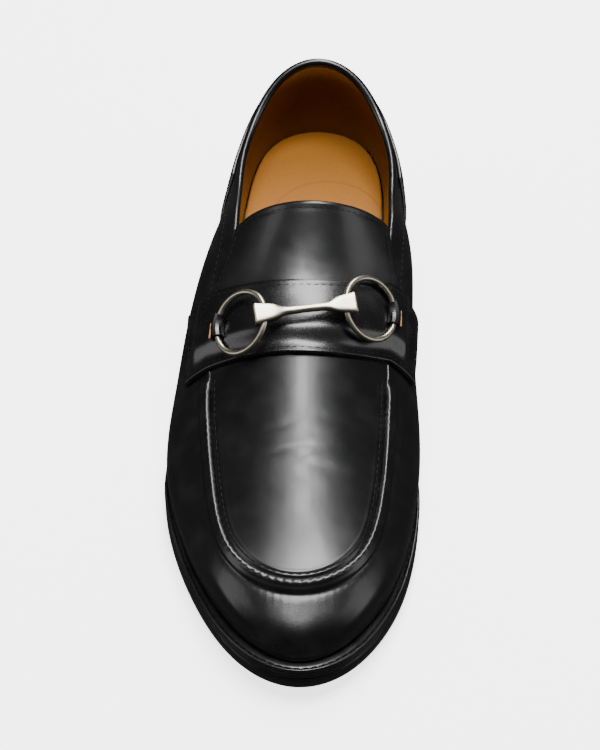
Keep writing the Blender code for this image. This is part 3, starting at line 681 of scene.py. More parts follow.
def tan_leather(name, rim, deep, arc=0.0):
    """Undyed leather, deeper in colour behind the line y = deep and paler above the level rim.

    With an arc it also has the faint outline of a heel pad: a line where the
    distance from the pad's middle is its radius.
    """
    shader = Shader(name)
    stain = shader.noise(STAIN_SCALE, 4.0)
    fleck = shader.noise(FLECK_SCALE)
    behind = shader.step(shader.axis("Y") + (stain - 0.5) * 0.02, deep - 0.012, deep + 0.010)
    above = shader.step(shader.axis("Z") + (stain - 0.5) * 0.01, rim - 0.008, rim + 0.004)
    colour = shader.mix(behind, TAN, TAN_DEEP)
    colour = shader.mix(above * 0.6, colour, TAN_PALE)
    colour = shader.mix(shader.step(fleck, 0.35, 0.8) * 0.18, colour, TAN_DEEP)
    ends = {0: shader.place(), 1: PAD_MIDDLE}
    away = shader.make("ShaderNodeVectorMath", {"operation": "DISTANCE"}, ends, "Value")
    starts = shader.step(away, PAD_RADIUS - PAD_LINE, PAD_RADIUS)
    stops = shader.step(away, PAD_RADIUS, PAD_RADIUS + PAD_LINE)
    colour = shader.mix((starts - stops) * arc, colour, TAN_DEEP)
    shader.set(
        Base_Color=colour,
        Roughness=0.58,
        Specular_IOR_Level=0.2,
        Normal=shader.bump(fleck, 0.0002, 0.5),
    )
    return shader.material


calf = calf_leather("box_calf", 0.32, 0.10, 0.00018)
calf_firm = calf_leather("strap_calf", 0.27, 0.12, 0.00012)
lining_leather = tan_leather("lining_leather", 0.075, 0.104)
insole_leather = tan_leather("insole_leather", 0.200, 0.300, arc=0.45)
print("Leathers:", calf.name, calf_firm.name, lining_leather.name)

# %% [markdown]
# The sole's edge is leather too, but cut, waxed and burnished with a hot
# iron, which leaves fine lines along it and a worn bright corner. Nickel is
# a plain metal with a warm grey colour, satin rather than mirror-like.

# %% Edge wax, rubber, thread and metal
NICKEL = (0.40, 0.37, 0.29, 1)
RUBBER = (0.012, 0.012, 0.012, 1)
THREAD = (0.004, 0.004, 0.0045, 1)
RAW_EDGE = (0.40, 0.20, 0.075, 1)
LAYER_SCALES = (30, 30, 1600)    # per metre: long lines that follow each other closely in height


def waxed_edge():
    """Black wax over layers of leather: the height stretches a noise into lines along the edge."""
    shader = Shader("waxed_edge")
    scaled = shader.make("ShaderNodeMapping", {}, {"Vector": shader.place(), "Scale": LAYER_SCALES})
    layers = shader.make("ShaderNodeTexNoise", {}, {"Vector": scaled, "Scale": 1.0, "Detail": 3.0})
    colour = shader.mix(shader.step(layers, 0.5, 0.75), INK, INK_WORN)
    rough = 0.36 + (layers - 0.5) * 0.25
    shader.set(Base_Color=colour, Roughness=rough, Normal=shader.bump(layers, 0.0003, 0.6))
    return shader.material


def plain(name, colour, roughness, metallic=0.0, fine=1500, depth=0.00004, **more):
    """One even finish with a fine bump."""
    shader = Shader(name)
    speck = shader.noise(fine)
    shader.set(
        Base_Color=colour,
        Roughness=roughness + (speck - 0.5) * 0.08,
        Metallic=metallic,
        Normal=shader.bump(speck, depth),
        **more,
    )
    return shader.material


edge_wax = waxed_edge()
rubber = plain("rubber", RUBBER, 0.72, depth=0.0001)
thread = plain("black_thread", THREAD, 0.70, depth=0.0001, Specular_IOR_Level=0.15)
raw_edge = plain("raw_edge", RAW_EDGE, 0.8, depth=0.0001)
nickel = plain("satin_nickel", NICKEL, 0.34, 1.0, fine=700, depth=0.00002)
print("Finishes:", edge_wax.name, rubber.name, thread.name, raw_edge.name, nickel.name)

# %% [markdown]
# The outsole, the welt and the heel are cut from thick leather and pressed
# together. Each is a stack of rings around the sole, so that a profile drawn
# once, as insets and heights, runs all the way round.

# %% Outsole and welt
AROUND = 420              # points of a ring around the sole
BLOCK_CORNER = math.radians(40)   # a sharper fold than this shows as an edge
around = np.linspace(0, 2 * np.pi, AROUND, endpoint=False)
WELT_TOP = WELT_FOOT + WELT_THICKNESS
OUTSOLE_PROFILE = [       # inset from the sole's edge, height over the underside
    (0.0030, 0.0), (0.0012, 0.0), (0.0004, 0.0002), (0.0001, 0.0006), (0.0000, 0.0022),
    (0.0000, 0.0040), (0.0001, 0.0054), (0.0005, 0.0060), (0.0012, OUTSOLE_THICKNESS),
]
WELT_PROFILE = [          # inset, height over the welt's underside
    (0.0010, 0.0), (0.0003, 0.0001), (0.0000, 0.0005), (0.0000, 0.0016), (0.0003, 0.0018),
    (0.0000, 0.0020), (0.0000, 0.0034), (0.0004, 0.0037), (0.0000, 0.0040), (-0.0002, 0.0047),
    (-0.0001, 0.0052), (0.0003, 0.0055), (0.0008, 0.0055), (0.0012, 0.0053), (0.0015, 0.0050),
    (0.0018, 0.0053), (0.0024, 0.0055),
]


def ladder_faces(count, first, up):
    """Flat fill of a ring that is symmetric about its first point, by rungs between its two sides."""
    faces = []
    for near in range((count - 1) // 2 + 1):
        rung = [near, near + 1, count - near - 1, (count - near) % count]
        face = list(dict.fromkeys(rung))
        if len(face) > 2 and near + 1 <= count - near - 1:
            faces.append([first + i for i in (face if up else face[::-1])])
    return faces


def block(name, rings):
    """A closed solid from rings, bottom ring first, with flat ends."""
    count = rings.shape[1]
    faces = quads(len(rings), count, wrap=True).tolist()
    faces += ladder_faces(count, 0, up=False)
    faces += ladder_faces(count, (len(rings) - 1) * count, up=True)
    piece = add_mesh(name, rings, faces)
    piece.data.set_sharp_from_angle(angle=BLOCK_CORNER)
    return piece


outsole_rings = np.stack([sole_ring(around, inset, height) for inset, height in OUTSOLE_PROFILE])
dress(block("outsole_leather", outsole_rings), edge_wax, replaces=["outsole"])

welt_rows = [sole_ring(around, inset, WELT_FOOT + height) for inset, height in WELT_PROFILE]
welt_rows.append(sole_ring(around, WELT_STRIP, WELT_TOP))
welt_rows.append(sole_ring(around, WELT_STRIP, WELT_FOOT))
welt_rows.append(welt_rows[0])
welt = add_grid("welt_strip", np.stack(welt_rows), wrap=True, weld=WELD)
dress(welt, edge_wax, replaces=["welt"])
print("Welt profile has", len(WELT_PROFILE), "points")

# %% [markdown]
# A stacked heel is built from lifts, each a few millimetres thick. Between
# two lifts the edge keeps a fine line, which is a ring set a little further
# in than its neighbours.

# %% Heel
LIFTS = 4
LIFT_LINE = 0.00010       # depth of the line between two lifts
HEEL_AROUND = 150         # points from the heel's back to its front, on either side
FRONT_TRIALS = 400        # angles among which the straight front is found
TOP_LIFT_PROFILE = [      # inset, height over the floor
    (0.0008, 0.0), (0.0002, 0.0002), (0.0, 0.0008), (0.0, 0.0052), (0.0004, TOP_LIFT_THICKNESS),
]
LIFT_PROFILE = [          # share of one lift's height, inset
    (0.005, LIFT_LINE), (0.04, 0.0), (0.50, -0.00004), (0.96, 0.0), (0.995, LIFT_LINE),
]


def heel_ring(inset, level, breast):
    """Ring around the heel at one level, closed by its straight front."""
    trial = np.linspace(0, np.pi / 2, FRONT_TRIALS)
    half = []
    for side in (1, -1):
        y = sole_plan(side * trial, inset)[:, 1]
        last = np.interp(-breast, -y, trial)
        half.append(side * np.linspace(0, last, HEEL_AROUND))
    angle = np.concatenate([half[0], half[1][:0:-1]])
    return sole_ring(angle, inset, 0.0, level)


breast = SOLE_LENGTH / 2 - HEEL_BREAST
top_lift_rings = np.stack([heel_ring(HEEL_TAPER + inset, level, breast) for inset, level in TOP_LIFT_PROFILE])
dress(block("top_lift_rubber", top_lift_rings), rubber, replaces=["top_lift"])

heel_foot = TOP_LIFT_THICKNESS + GAP
heel_rows = []
for lift in range(LIFTS):
    for share, line in LIFT_PROFILE:
        rise = (lift + share) / LIFTS
        inset = HEEL_TAPER * (1 - 0.75 * rise) + line
        heel_rows.append(heel_ring(inset, heel_foot + HEEL_STACK_HEIGHT * rise, breast))
dress(block("heel_stack", np.stack(heel_rows)), edge_wax, replaces=["heel_block"])
print("Heel lifts:", LIFTS)

# %% [markdown]
# The upper's walls are one piece of calf from the heel round the toe. Where
# they meet the plug, the maker rolls both edges over a cord and sews them, so
# a ridge stands along the apron, drawn in a little at each hand stitch. Its
# section is a table of heights over the distance from the edge. Round the
# toe the wall is gathered into the seam, in small pleats that soon fade.

# %% Walls and apron ridge
PIPE_PULL = 0.00045       # how deep each hand stitch draws in the ridge's inner side
RIDGE_ROWS = [            # distance from the edge, height over the wall, in millimetres
    (0.0, -0.5), (0.3, 0.3), (0.7, 0.95), (1.2, 1.15), (1.8, 1.05), (2.4, 0.80), (3.0, 0.70),
    (3.6, 0.55), (4.2, 0.10), (4.8, -0.30), (6.0, -0.25), (9.0, 0.0), (12.0, 0.0),
]
FINE_WALL = 0.012         # stretch below the edge that has close rows
RIDGE_REACH = 0.0052      # and the part of it under the ridge, with the closest
GATHER_PITCH = 0.0030
GATHER_TOE = (0.72, 0.20)    # share of the length where the pleats come in, and over which
GATHER_DEPTH = 0.00005
GATHER_START = 0.0040     # distance from the edge where the pleats begin
GATHER_RISE = 0.0012      # over which they reach their depth
GATHER_FULL = 0.0050      # distance from which they fade
GATHER_FADE = 0.0035
PIPE_PITCH = 0.0034       # from one hand stitch to the next
PIPE_REACH = 0.0014       # from the edge, over which the pull fades
APRON_UNDER = 0.004       # how far the ridge runs on under the strap
APRON_FADE = 0.010


def apron_strength(angle):
    """1 along the apron, 0 where tongue and strap cover the edge and on the collar."""
    y = top_edge(angle)[..., 1]
    return ease((STRAP_MIDDLE - STRAP_WIDTH / 2 + APRON_UNDER - y) / APRON_FADE)


def ridge(distance):
    """Height of the rolled seam over the wall, in metres."""
    return smooth(RIDGE_ROWS, 1, distance * 1000) / 1000


chord = np.linalg.norm(top_edge(around) - upper_foot(around), axis=-1)
coarse = np.linspace(0, 1, 24)[:-1, None] * (1 - FINE_WALL / chord)
close = np.concatenate([np.linspace(FINE_WALL, RIDGE_REACH, 13)[:-1], np.linspace(RIDGE_REACH, 0.0, 24)])
rise = np.concatenate([coarse, 1 - close[:, None] / chord])
bare_wall = wall(around[None, :], rise)
wall_out = grid_normals(bare_wall, wrap=True)
from_edge = (1 - rise) * chord
strength = apron_strength(around)[None, :]
run = run_length(bare_wall[-1:], 1, True)[0, :-1]
toe_share = ramp(share_along(around), *GATHER_TOE)
gather = np.cos(2 * np.pi * run / GATHER_PITCH) * GATHER_DEPTH * toe_share
fade = np.exp(-np.maximum(from_edge - GATHER_FULL, 0) / GATHER_FADE)
gather = gather * ramp(from_edge, GATHER_START, GATHER_RISE) * fade
pull = PIPE_PULL * np.maximum(np.cos(2 * np.pi * run / PIPE_PITCH), 0) * ease(1.5 - from_edge / PIPE_REACH)
lift = (ridge(from_edge) - pull + gather) * strength
walls = add_grid("upper_walls", bare_wall + wall_out * lift[..., None], wrap=True)
thicken(walls, SKIN_THICKNESS)
dress(walls, calf, replaces=["upper"])
print("Walls:", len(walls.data.vertices), "points")

# %% [markdown]
# The plug is the sheet that covers the top of the foot. Its points run from
# the seam inwards to the middle line, close together near the seam. It is
# skived thin there and sinks below the ridge. Where the toes bend the shoe,
# a few shallow creases cross it, each a valley with a soft swelling beside it.

# %% Plug
PLUG_BACK = STRAP_MIDDLE - 0.004
PLUG_AROUND = 420         # points along the seam
PLUG_ROWS = 44            # from the seam to the middle line, past the close ones
FAN = 0.024               # from the apron's front to the point where the toe's lines meet
NEAR_SEAM = np.array([-1.0, -0.5, 0, 0.4, 0.8, 1.2, 1.5, 1.8, 2.1, 2.5, 2.9, 3.4, 4.0])    # millimetres
PLUG_EDGE_ROWS = [        # distance from the seam, height, in millimetres
    (-1.0, -1.7), (0.0, -1.1), (0.8, -0.8), (1.5, -0.35), (2.1, -0.32), (2.8, 0.0), (4.0, 0.0),
]
CREASES = [               # middle x and y, half length, half width, depth, slant
    (0.002, -0.0600, 0.012, 0.0026, 0.00024, 0.16),
    (0.012, -0.0680, 0.015, 0.0036, 0.00022, -0.10),
    (-0.007, -0.0500, 0.011, 0.0030, 0.00016, 0.25),
    (0.018, -0.0455, 0.013, 0.0036, 0.00014, -0.20),
    (0.000, -0.0800, 0.018, 0.0060, 0.00016, 0.04),
]


def creases(points):
    """Height of all creases: for each, a valley of a bell's shape and a wider, lower bell around it."""
    height = np.zeros(points.shape[:2])
    for x, y, length, width, depth, slant in CREASES:
        along = (points[..., 0] - x) / length
        across = (points[..., 1] - y - slant * (points[..., 0] - x)) / width
        fade = np.exp(-along**2)
        height += depth * fade * (0.75 * np.exp(-(across / 2.6)**2) - np.exp(-across**2))
    return height


turn = edge_angle(PLUG_BACK)
plug_angle = np.linspace(turn, 2 * np.pi - turn, PLUG_AROUND)
plug_edge = top_edge(plug_angle)[:, :2]
axis_y = np.maximum(plug_edge[:, 1], UPPER_BACK - COLLAR_LENGTH + FAN)
axis_plan = spine_point(axis_y)[:, :2]
half_width = np.linalg.norm(axis_plan - plug_edge, axis=-1)
near_seam = NEAR_SEAM[:, None] / 1000 / half_width
inner = near_seam[-1:] + (1 - near_seam[-1:]) * np.linspace(0, 1, PLUG_ROWS)[1:, None]
share = np.concatenate([near_seam, inner])
plug_plan = plug_edge + (axis_plan - plug_edge) * share[..., None]
plug = crown(plug_plan)
plug_out = np.zeros_like(plug)
plug_out[..., 2] = 1.0
plug_out[:-1] = grid_normals(plug)[:-1]
seam_distance = share * half_width
edge_fade = apron_strength(plug_angle)
lift = smooth(PLUG_EDGE_ROWS, 1, seam_distance * 1000) / 1000 * edge_fade + creases(plug)
plug = plug + plug_out * lift[..., None]
plug_piece = add_grid("plug", plug, weld=WELD)
thicken(plug_piece, SKIN_THICKNESS)
dress(plug_piece, calf)
print("Plug:", len(plug_piece.data.vertices), "points")

# %% [markdown]
# A stitch is a short piece of thread that dives into the leather at both
# ends. One small closed form, a flattened ellipsoid, is copied along a path:
# numpy turns and places all the copies in one step.

# %% Stitches
STITCH_RINGS, STITCH_SIDES = 5, 8
APRON_SEWING = 0.0021     # of the apron's stitches from the seam's edge
APRON_STITCH = (0.0026, 0.00055)     # length and width of one stitch
SLAB_STITCH = (0.0022, 0.0005)
QUARTER_STITCH = (0.0021, 0.0005)
WELT_STITCH = (0.0028, 0.0006)


def evenly(path, normal, pitch):
    """Places, directions and normals at equal steps along a path of points."""
    run = run_length(path[None], 1, False)[0]
    count = max(int(run[-1] / pitch), 1)
    at = (np.arange(count) + 0.5) * run[-1] / count

    def read(values, where):
        return np.stack([np.interp(where, run, values[:, k]) for k in range(3)], -1)

    near, far = read(path, at - pitch / 4), read(path, at + pitch / 4)
    return read(path, at), unit(far - near), unit(read(normal, at))


def stitches(name, paths, pitch, stitch):
    """A row of stitches along each path; a path is its points and the surface's normals there."""
    length, width = stitch
    polar = np.linspace(0, np.pi, STITCH_RINGS + 2)
    turn = np.linspace(0, 2 * np.pi, STITCH_SIDES, endpoint=False)
    form = np.stack([
        -np.cos(polar)[:, None] + 0 * turn,
        np.sin(polar)[:, None] * np.cos(turn),
        np.sin(polar)[:, None] * np.sin(turn),
    ], -1)
    quad = quads(len(polar), STITCH_SIDES, wrap=True)
    clouds = []
    for points, normal in paths:
        place, along, up = evenly(points, normal, pitch)
        side = unit(np.cross(up, along))
        size = np.stack([along * length / 2, side * width / 2, np.cross(along, side) * width / 2], 1)
        clouds.append(place[:, None, None] + np.einsum("rck,nkx->nrcx", form, size))
    cloud = np.concatenate(clouds)
    block_size = form.shape[0] * form.shape[1]
    faces = (quad[None] + (np.arange(len(cloud)) * block_size)[:, None, None]).reshape(-1, 4)
    piece = add_mesh(name, cloud, faces, weld=WELD, closed=True)
    dress(piece, thread)
    print(name, "has", len(cloud), "stitches")


seam_row = int(np.argmin(np.abs(seam_distance[:, PLUG_AROUND // 2] - APRON_SEWING)))
sewn = edge_fade > 0.5
stitches("apron_stitches", [(plug[seam_row][sewn], plug_out[seam_row][sewn])], PIPE_PITCH, APRON_STITCH)

# %% [markdown]
# Tongue, strap and counter are single pieces of leather laid over others.
# Each is built as a closed slab: a lower sheet, an upper sheet, and an edge
# that rounds over because the thickness runs out there like a quarter circle.

# %% A slab of leather
SEWING_INSET = 0.0026     # of a slab's stitches from its border
SEWING_SINK = 0.0002      # of their middle below the upper sheet
SEWING_PITCH = 0.0031
GROOVE_WIDTH = 0.0005
RIM_SHARES = np.array([0.0, 0.03, 0.12, 0.28, 0.5, 0.75, 1.0])    # rows within a slab's rim


def close_ends(length, rim, count):
    """Shares from 0 to 1, close together within rim of both ends of a length."""
    near = RIM_SHARES * rim / length
    middle = np.linspace(near[-1], 1 - near[-1], count)[1:-1]
    return np.concatenate([near, middle, 1 - near[::-1]])


def slab(name, place, grid, size, thickness, rim, groove):
    """Closed slab over place(row share, column share, lift); size is its height and width in metres.

    The thickness follows a quarter circle within rim of the border, and a
    shallow groove of a bell's shape runs around where its stitches lie.
    """
    r = close_ends(size[0], rim, grid[0])
    c = close_ends(size[1], rim, grid[1])
    to_border = np.minimum(
        (np.minimum(r, 1 - r) * size[0])[:, None],
        (np.minimum(c, 1 - c) * size[1])[None, :],
    )
    full = np.sqrt(1 - (1 - np.clip(to_border / rim, 0, 1))**2)
    dent = groove * np.exp(-((to_border - SEWING_INSET) / GROOVE_WIDTH)**2)
    r, c = np.meshgrid(r, c, indexing="ij")
    upper_sheet = place(r, c, (thickness - dent) * full)
    lower_sheet = place(r, c, 0 * full)
    rows, columns = r.shape
    face = quads(rows, columns)
    faces = np.concatenate([face, face[:, ::-1] + rows * columns])
    u, v = run_length(upper_sheet, 1, False), run_length(upper_sheet, 0, False)
    uv = np.stack([u.ravel()[face], v.ravel()[face]], -1)
    points = np.concatenate([upper_sheet.reshape(-1, 3), lower_sheet.reshape(-1, 3)])
    return add_mesh(name, points, faces, np.concatenate([uv, uv[:, ::-1]]), weld=WELD)


def sewing_shares(size):
    """Shares of a slab's height and width at which its stitches run."""
    return SEWING_INSET / size[0], SEWING_INSET / size[1]


def sew(name, place, lines, thickness, pitch=SEWING_PITCH):
    """Rows of stitches on a slab; each line has its row and column shares, and one may be a number."""
    level = thickness - SEWING_SINK
    paths = []
    for parts, shares in lines:
        parts, shares = np.broadcast_arrays(parts, shares)
        on = place(parts, shares, np.full(parts.shape, level))
        above = place(parts, shares, np.full(parts.shape, level + 0.001))
        paths.append((on, unit(above - on)))
    stitches(name, paths, pitch, SLAB_STITCH)


print("Shares along a 30 mm strip:", np.round(close_ends(0.03, 0.001, 4), 3))

# %% [markdown]
# The tongue is the part of the plug behind the strap. Its tip is folded over
# and sewn, so a groove and a row of stitches follow its edge.

# %% Tongue
TONGUE_START = STRAP_MIDDLE - 0.0034
TONGUE_NARROWS = 0.13     # share by which its tip is narrower
TONGUE_PITCH = 0.0030     # of its stitches
TONGUE_SIZE = (TONGUE_TIP - TONGUE_START, COLLAR_WIDTH * 0.95)


def tongue_place(part, share, lift):
    """Point of the tongue: part runs to its tip, share across it."""
    across = (2 * share - 1) * (1 + TONGUE_WRAP)
    corner = np.abs(across / (1 + TONGUE_WRAP))**5
    y_spine = TONGUE_START + (TONGUE_TIP - TONGUE_CORNER * corner - TONGUE_START) * part
    across = across * (1 - TONGUE_NARROWS * ease((part - 0.45) / 0.55) * np.abs(across))
    return over_skin(y_spine, across, GAP + lift)


tongue = slab(
    "tongue_leather", tongue_place, (44, 64), TONGUE_SIZE, TONGUE_THICKNESS,
    rim=0.0012, groove=0.00022,
)
dress(tongue, calf, replaces=["tongue"])
part, share = sewing_shares(TONGUE_SIZE)
tip = np.linspace(share, 1 - share, 160)
down = np.linspace(0.30, 1 - part, 60)
parts = np.concatenate([down, np.full_like(tip, 1 - part), down[::-1]])
shares = np.concatenate([np.full_like(down, share), tip, np.full_like(down, 1 - share)])
sew("tongue_stitches", tongue_place, [(parts, shares)], TONGUE_THICKNESS, TONGUE_PITCH)

# %% [markdown]
# The strap crosses the instep over tongue and plug and runs down both sides.
# Its two long edges and its ends are sewn down, and the bit is fixed to it.

# %% Strap
STEP_BEFORE = 0.0130      # the step up starts this far before the strap's middle
STEP_RUN = 0.0090
STEP_PAST = 0.13          # share across by which the strap reaches past the tongue before it steps down
STEP_ACROSS = 0.10
BIT_REACH = 0.36          # share of the strap's width either side, over which the bit's pitch is taken
ROLL_REACH = 0.05         # share across either side, over which a ring's roll is taken
SLOT_SEARCH = (0.5, 1.3, 300)    # trial shares across: first, last, count


def strap_lift(y_spine, across):
    """The strap lies on the plug in front and steps up onto the tongue behind and inside its edges."""
    behind = ease((y_spine - STRAP_MIDDLE + STEP_BEFORE) / STEP_RUN)
    inside = ease((1 + TONGUE_WRAP + STEP_PAST - np.abs(across)) / STEP_ACROSS)
    return GAP + (TONGUE_THICKNESS + GAP) * behind * inside


def over_strap(y_spine, across, lift=0.0):
    """Point over the strap's outer face."""
    y_spine, across = np.broadcast_arrays(np.asarray(y_spine, float), np.asarray(across, float))
    return over_skin(y_spine, across, strap_lift(y_spine, across) + STRAP_THICKNESS + lift)


def bit_pitch():
    """Slope along the instep that both rings and the bar lie at."""
    low, high = over_strap(STRAP_MIDDLE + np.array([-BIT_REACH, BIT_REACH]) * STRAP_WIDTH, 0.0)
    return math.atan2(high[2] - low[2], high[1] - low[1]) + RING_PITCH


def ring_place(label):
    """Centre of a ring, the direction in its plane straight out to the side, and its axis off the strap."""
    side = -1 if label == "lateral" else 1
    y_from_middle, across, height = RING_SPOTS[label]
    y_spine = STRAP_MIDDLE + y_from_middle
    centre = over_strap([y_spine], across, height)[0]
    near, far = over_strap(y_spine, across + np.array([-ROLL_REACH, ROLL_REACH]))
    roll = math.atan2(abs(far[2] - near[2]), abs(far[0] - near[0])) + RING_DIP
    pitch = bit_pitch()
    axis = np.array([
        side * math.sin(roll),
        -math.cos(roll) * math.sin(pitch),
        math.cos(roll) * math.cos(pitch),
    ])
    sideways = np.array([side, 0.0, 0.0])
    radial = unit(sideways - axis * (axis @ sideways))
    return centre, radial, axis


def uphill(radial, axis):
    """Direction in a ring's plane that climbs the instep."""
    way = np.cross(axis, radial)
    return way * math.copysign(1.0, way[1])


def strap_under(point):
    """Nearest point of the strap's outer face in the upright plane through a point, and the way off it."""
    middle = spine_point(np.array(STRAP_MIDDLE))[0]
    across = math.copysign(1.0, point[0] - middle) * np.linspace(*SLOT_SEARCH)
    y_spine = np.full_like(across, STRAP_MIDDLE)
    for _ in range(SEARCH_ROUNDS):
        y_spine = y_spine - (over_strap(y_spine, across)[:, 1] - point[1])
    face = over_strap(y_spine, across)
    nearest = int(np.argmin(np.linalg.norm(face - point, axis=-1)))
    lifted = over_strap(y_spine, across, 0.001)
    return face[nearest], unit(lifted[nearest] - face[nearest])


STRAP_LENGTH = 0.128      # along the strap's curve from end to end, about
STRAP_SIZE = (STRAP_WIDTH, STRAP_LENGTH)


def strap_place(part, share, lift):
    """Point of the strap: part runs from its front edge to its back, share from end to end."""
    (lateral_front, lateral_back), (medial_front, medial_back) = STRAP_ENDS
    low = -(lateral_front + (lateral_back - lateral_front) * part)
    high = medial_front + (medial_back - medial_front) * part
    across = low + (high - low) * share
    y_spine = STRAP_MIDDLE + STRAP_WIDTH * (part - 0.5)
    return over_skin(y_spine, across, strap_lift(y_spine, across) + lift)


strap = slab(
    "strap_leather", strap_place, (30, 130), STRAP_SIZE, STRAP_THICKNESS,
    rim=0.0011, groove=0.00020,
)
dress(strap, calf_firm, replaces=["strap"])
part, share = sewing_shares(STRAP_SIZE)
across = np.linspace(share, 1 - share, 200)
along = np.linspace(part, 1 - part, 40)
strap_sewing = [(part, across), (1 - part, across), (along, share), (along, 1 - share)]
sew("strap_stitches", strap_place, strap_sewing, STRAP_THICKNESS)

# %% [markdown]
# The counter is a second layer round the heel, which keeps its shape. Its
# front edges lean back and are sewn with a row of stitches.

# %% Heel counter
COUNTER_SIZE = (0.040, 0.135)    # its height and its length round the heel, about
COUNTER_LEVELS = 12       # heights at which its front edge is found
COUNTER_TRIALS = 200


def counter_front(side):
    """Shares of the wall's height, and the angle of the counter's front edge at each."""
    shares = np.linspace(COUNTER_FOOT, COUNTER_TOP, COUNTER_LEVELS)
    trial = np.linspace(0.3, np.pi / 2, COUNTER_TRIALS)
    angles = []
    for share in shares:
        y = wall(side * trial, np.full(COUNTER_TRIALS, share))[:, 1]
        angles.append(np.interp(-(COUNTER_FRONT + COUNTER_RAKE * share), -y, trial))
    return shares, np.array(angles)


COUNTER_FRONTS = {side: counter_front(side) for side in (1, -1)}


def counter_place(part, share, lift):
    """Point of the counter: part runs up the wall, share from the medial front round to the lateral one."""
    v = COUNTER_FOOT + (COUNTER_TOP - COUNTER_FOOT) * part
    medial = -np.interp(v, *COUNTER_FRONTS[-1])
    lateral = np.interp(v, *COUNTER_FRONTS[1])
    angle = medial + (lateral - medial) * share
    return wall(angle, v) + wall_normal(angle, v) * np.asarray(GAP + lift)[..., None]


counter = slab(
    "counter_leather", counter_place, (30, 110), COUNTER_SIZE, COUNTER_THICKNESS,
    rim=0.0008, groove=0.00012,
)
dress(counter, calf, replaces=["heel_counter"])
up_edge = np.linspace(0.03, 0.97, 60)
part, share = sewing_shares(COUNTER_SIZE)
sew("counter_stitches", counter_place, [(up_edge, share), (up_edge, 1 - share)], COUNTER_THICKNESS)

# %% [markdown]
# The collar's raw edge is wrapped in a strip of thin black leather. Swept
# along the edge, a rounded section gives it; a tube's section runs out at
# both ends, which lie hidden under the tongue.

# %% Collar binding
BINDING_WIDTH = 0.0036
BINDING_HEIGHT = 0.0044
BINDING_END = TONGUE_TIP - 0.010
BINDING_INSET = 0.0007    # of the binding's middle from the top edge, inwards and down
BINDING_DROP = 0.0012
BINDING_STEPS = 260


def round_section(width, height, points=20):
    turn = np.linspace(0, 2 * np.pi, points + 1)
    return np.stack([width / 2 * np.cos(turn), height / 2 * np.sin(turn)], -1)


def tube(name, path, side, up, section, scale=1.0, wrap=False):
    """A section swept along a path; side and up are its axes at each point, scale its size there."""
    scale = np.broadcast_to(scale, len(path))[None, :, None]
    offset = section[:, 0, None, None] * side + section[:, 1, None, None] * up
    return add_grid(name, path + offset * scale, wrap=wrap, weld=WELD, closed=True)


def runs_out(count):
    """1 along a path and 0 at its first and last point."""
    scale = np.ones(count)
    scale[[0, -1]] = 0.0
    return scale


limit = edge_angle(BINDING_END)
collar_angle = np.linspace(-limit, limit, BINDING_STEPS)
collar_out = with_height(outward(collar_angle, *TOP_CURVE), 0 * collar_angle)
collar_up = np.broadcast_to([0.0, 0.0, 1.0], collar_out.shape)
collar_path = top_edge(collar_angle) - collar_out * BINDING_INSET - collar_up * BINDING_DROP
binding_section = round_section(BINDING_WIDTH, BINDING_HEIGHT)
binding = tube("collar_binding", collar_path, collar_out, collar_up, binding_section, runs_out(BINDING_STEPS))
dress(binding, calf)
print("Collar binding:", round(float(run_length(collar_path[None], 1, False)[0, -1]) * 1000), "mm long")

# %% [markdown]
# Inside, the quarters are lined with tan leather, a sheet of its own just
# within the outer one. The insole's solid already has the right shape, so it
# stays and only takes its finish.

# %% Lining and insole
LINING_OFFSET = 0.00125   # inwards from the outer face of the upper
LINING_THICKNESS = 0.00065
LINING_FRONT = -0.010     # y of its front ends, under the strap
LINING_TOP = 0.985        # share of the wall's height

limit = edge_angle(LINING_FRONT)
lining_angle = np.linspace(-limit, limit, 300)
lining_rise = np.linspace(0.0, LINING_TOP, 60)[:, None]
lining_points = wall(lining_angle[None, :], lining_rise)
lining_points = lining_points - grid_normals(lining_points) * LINING_OFFSET
lining = add_grid("lining_leather", lining_points)
thicken(lining, LINING_THICKNESS)
dress(lining, lining_leather)
for node, material in (("insole", insole_leather), ("tab_lateral", calf_firm), ("tab_medial", calf_firm)):
    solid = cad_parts[node].data
    solid.materials.clear()
    solid.materials.append(material)
print("Lining:", len(lining.data.vertices), "points")

# %% [markdown]
# Rows of stitches also hold the lining under the collar and the welt to the
# upper. Both paths follow curves that are already there.

# %% Quarter and welt stitches
QUARTER_STITCH_DROP = 0.0055
QUARTER_PITCH = 0.0030
QUARTER_STITCHES = (0.088, 0.020)    # y of both ends of a row
WELT_STITCH_START = 0.3   # angle from the heel's back
WELT_STITCH_INSET = 0.0015
WELT_STITCH_SINK = 0.0003
WELT_PITCH = 0.0036

quarter_paths = []
for side in (1, -1):
    angle = side * np.linspace(*edge_angle(np.array(QUARTER_STITCHES)), 120)
    rise = 1 - QUARTER_STITCH_DROP / np.linalg.norm(top_edge(angle) - upper_foot(angle), axis=-1)
    quarter_paths.append((wall(angle, rise), wall_normal(angle, rise)))
stitches("quarter_stitches", quarter_paths, QUARTER_PITCH, QUARTER_STITCH)
welt_angle = np.linspace(WELT_STITCH_START, 2 * np.pi - WELT_STITCH_START, 500)
welt_line = sole_ring(welt_angle, WELT_STITCH_INSET, WELT_TOP - WELT_STITCH_SINK)
welt_up = np.broadcast_to([0.0, 0.0, 1.0], welt_line.shape)
stitches("welt_stitches", [(welt_line, welt_up)], WELT_PITCH, WELT_STITCH)

# %% [markdown]
# The bit is two wire rings and a bar with flat, flared ends that the rings
# pass through. Each ring turns on its own CAD body, the bar stays with the
# shoe. The bar's sections are squared ellipses, from round at the waist to
# nearly rectangular at its ends, and its eyes are cut with a Boolean.

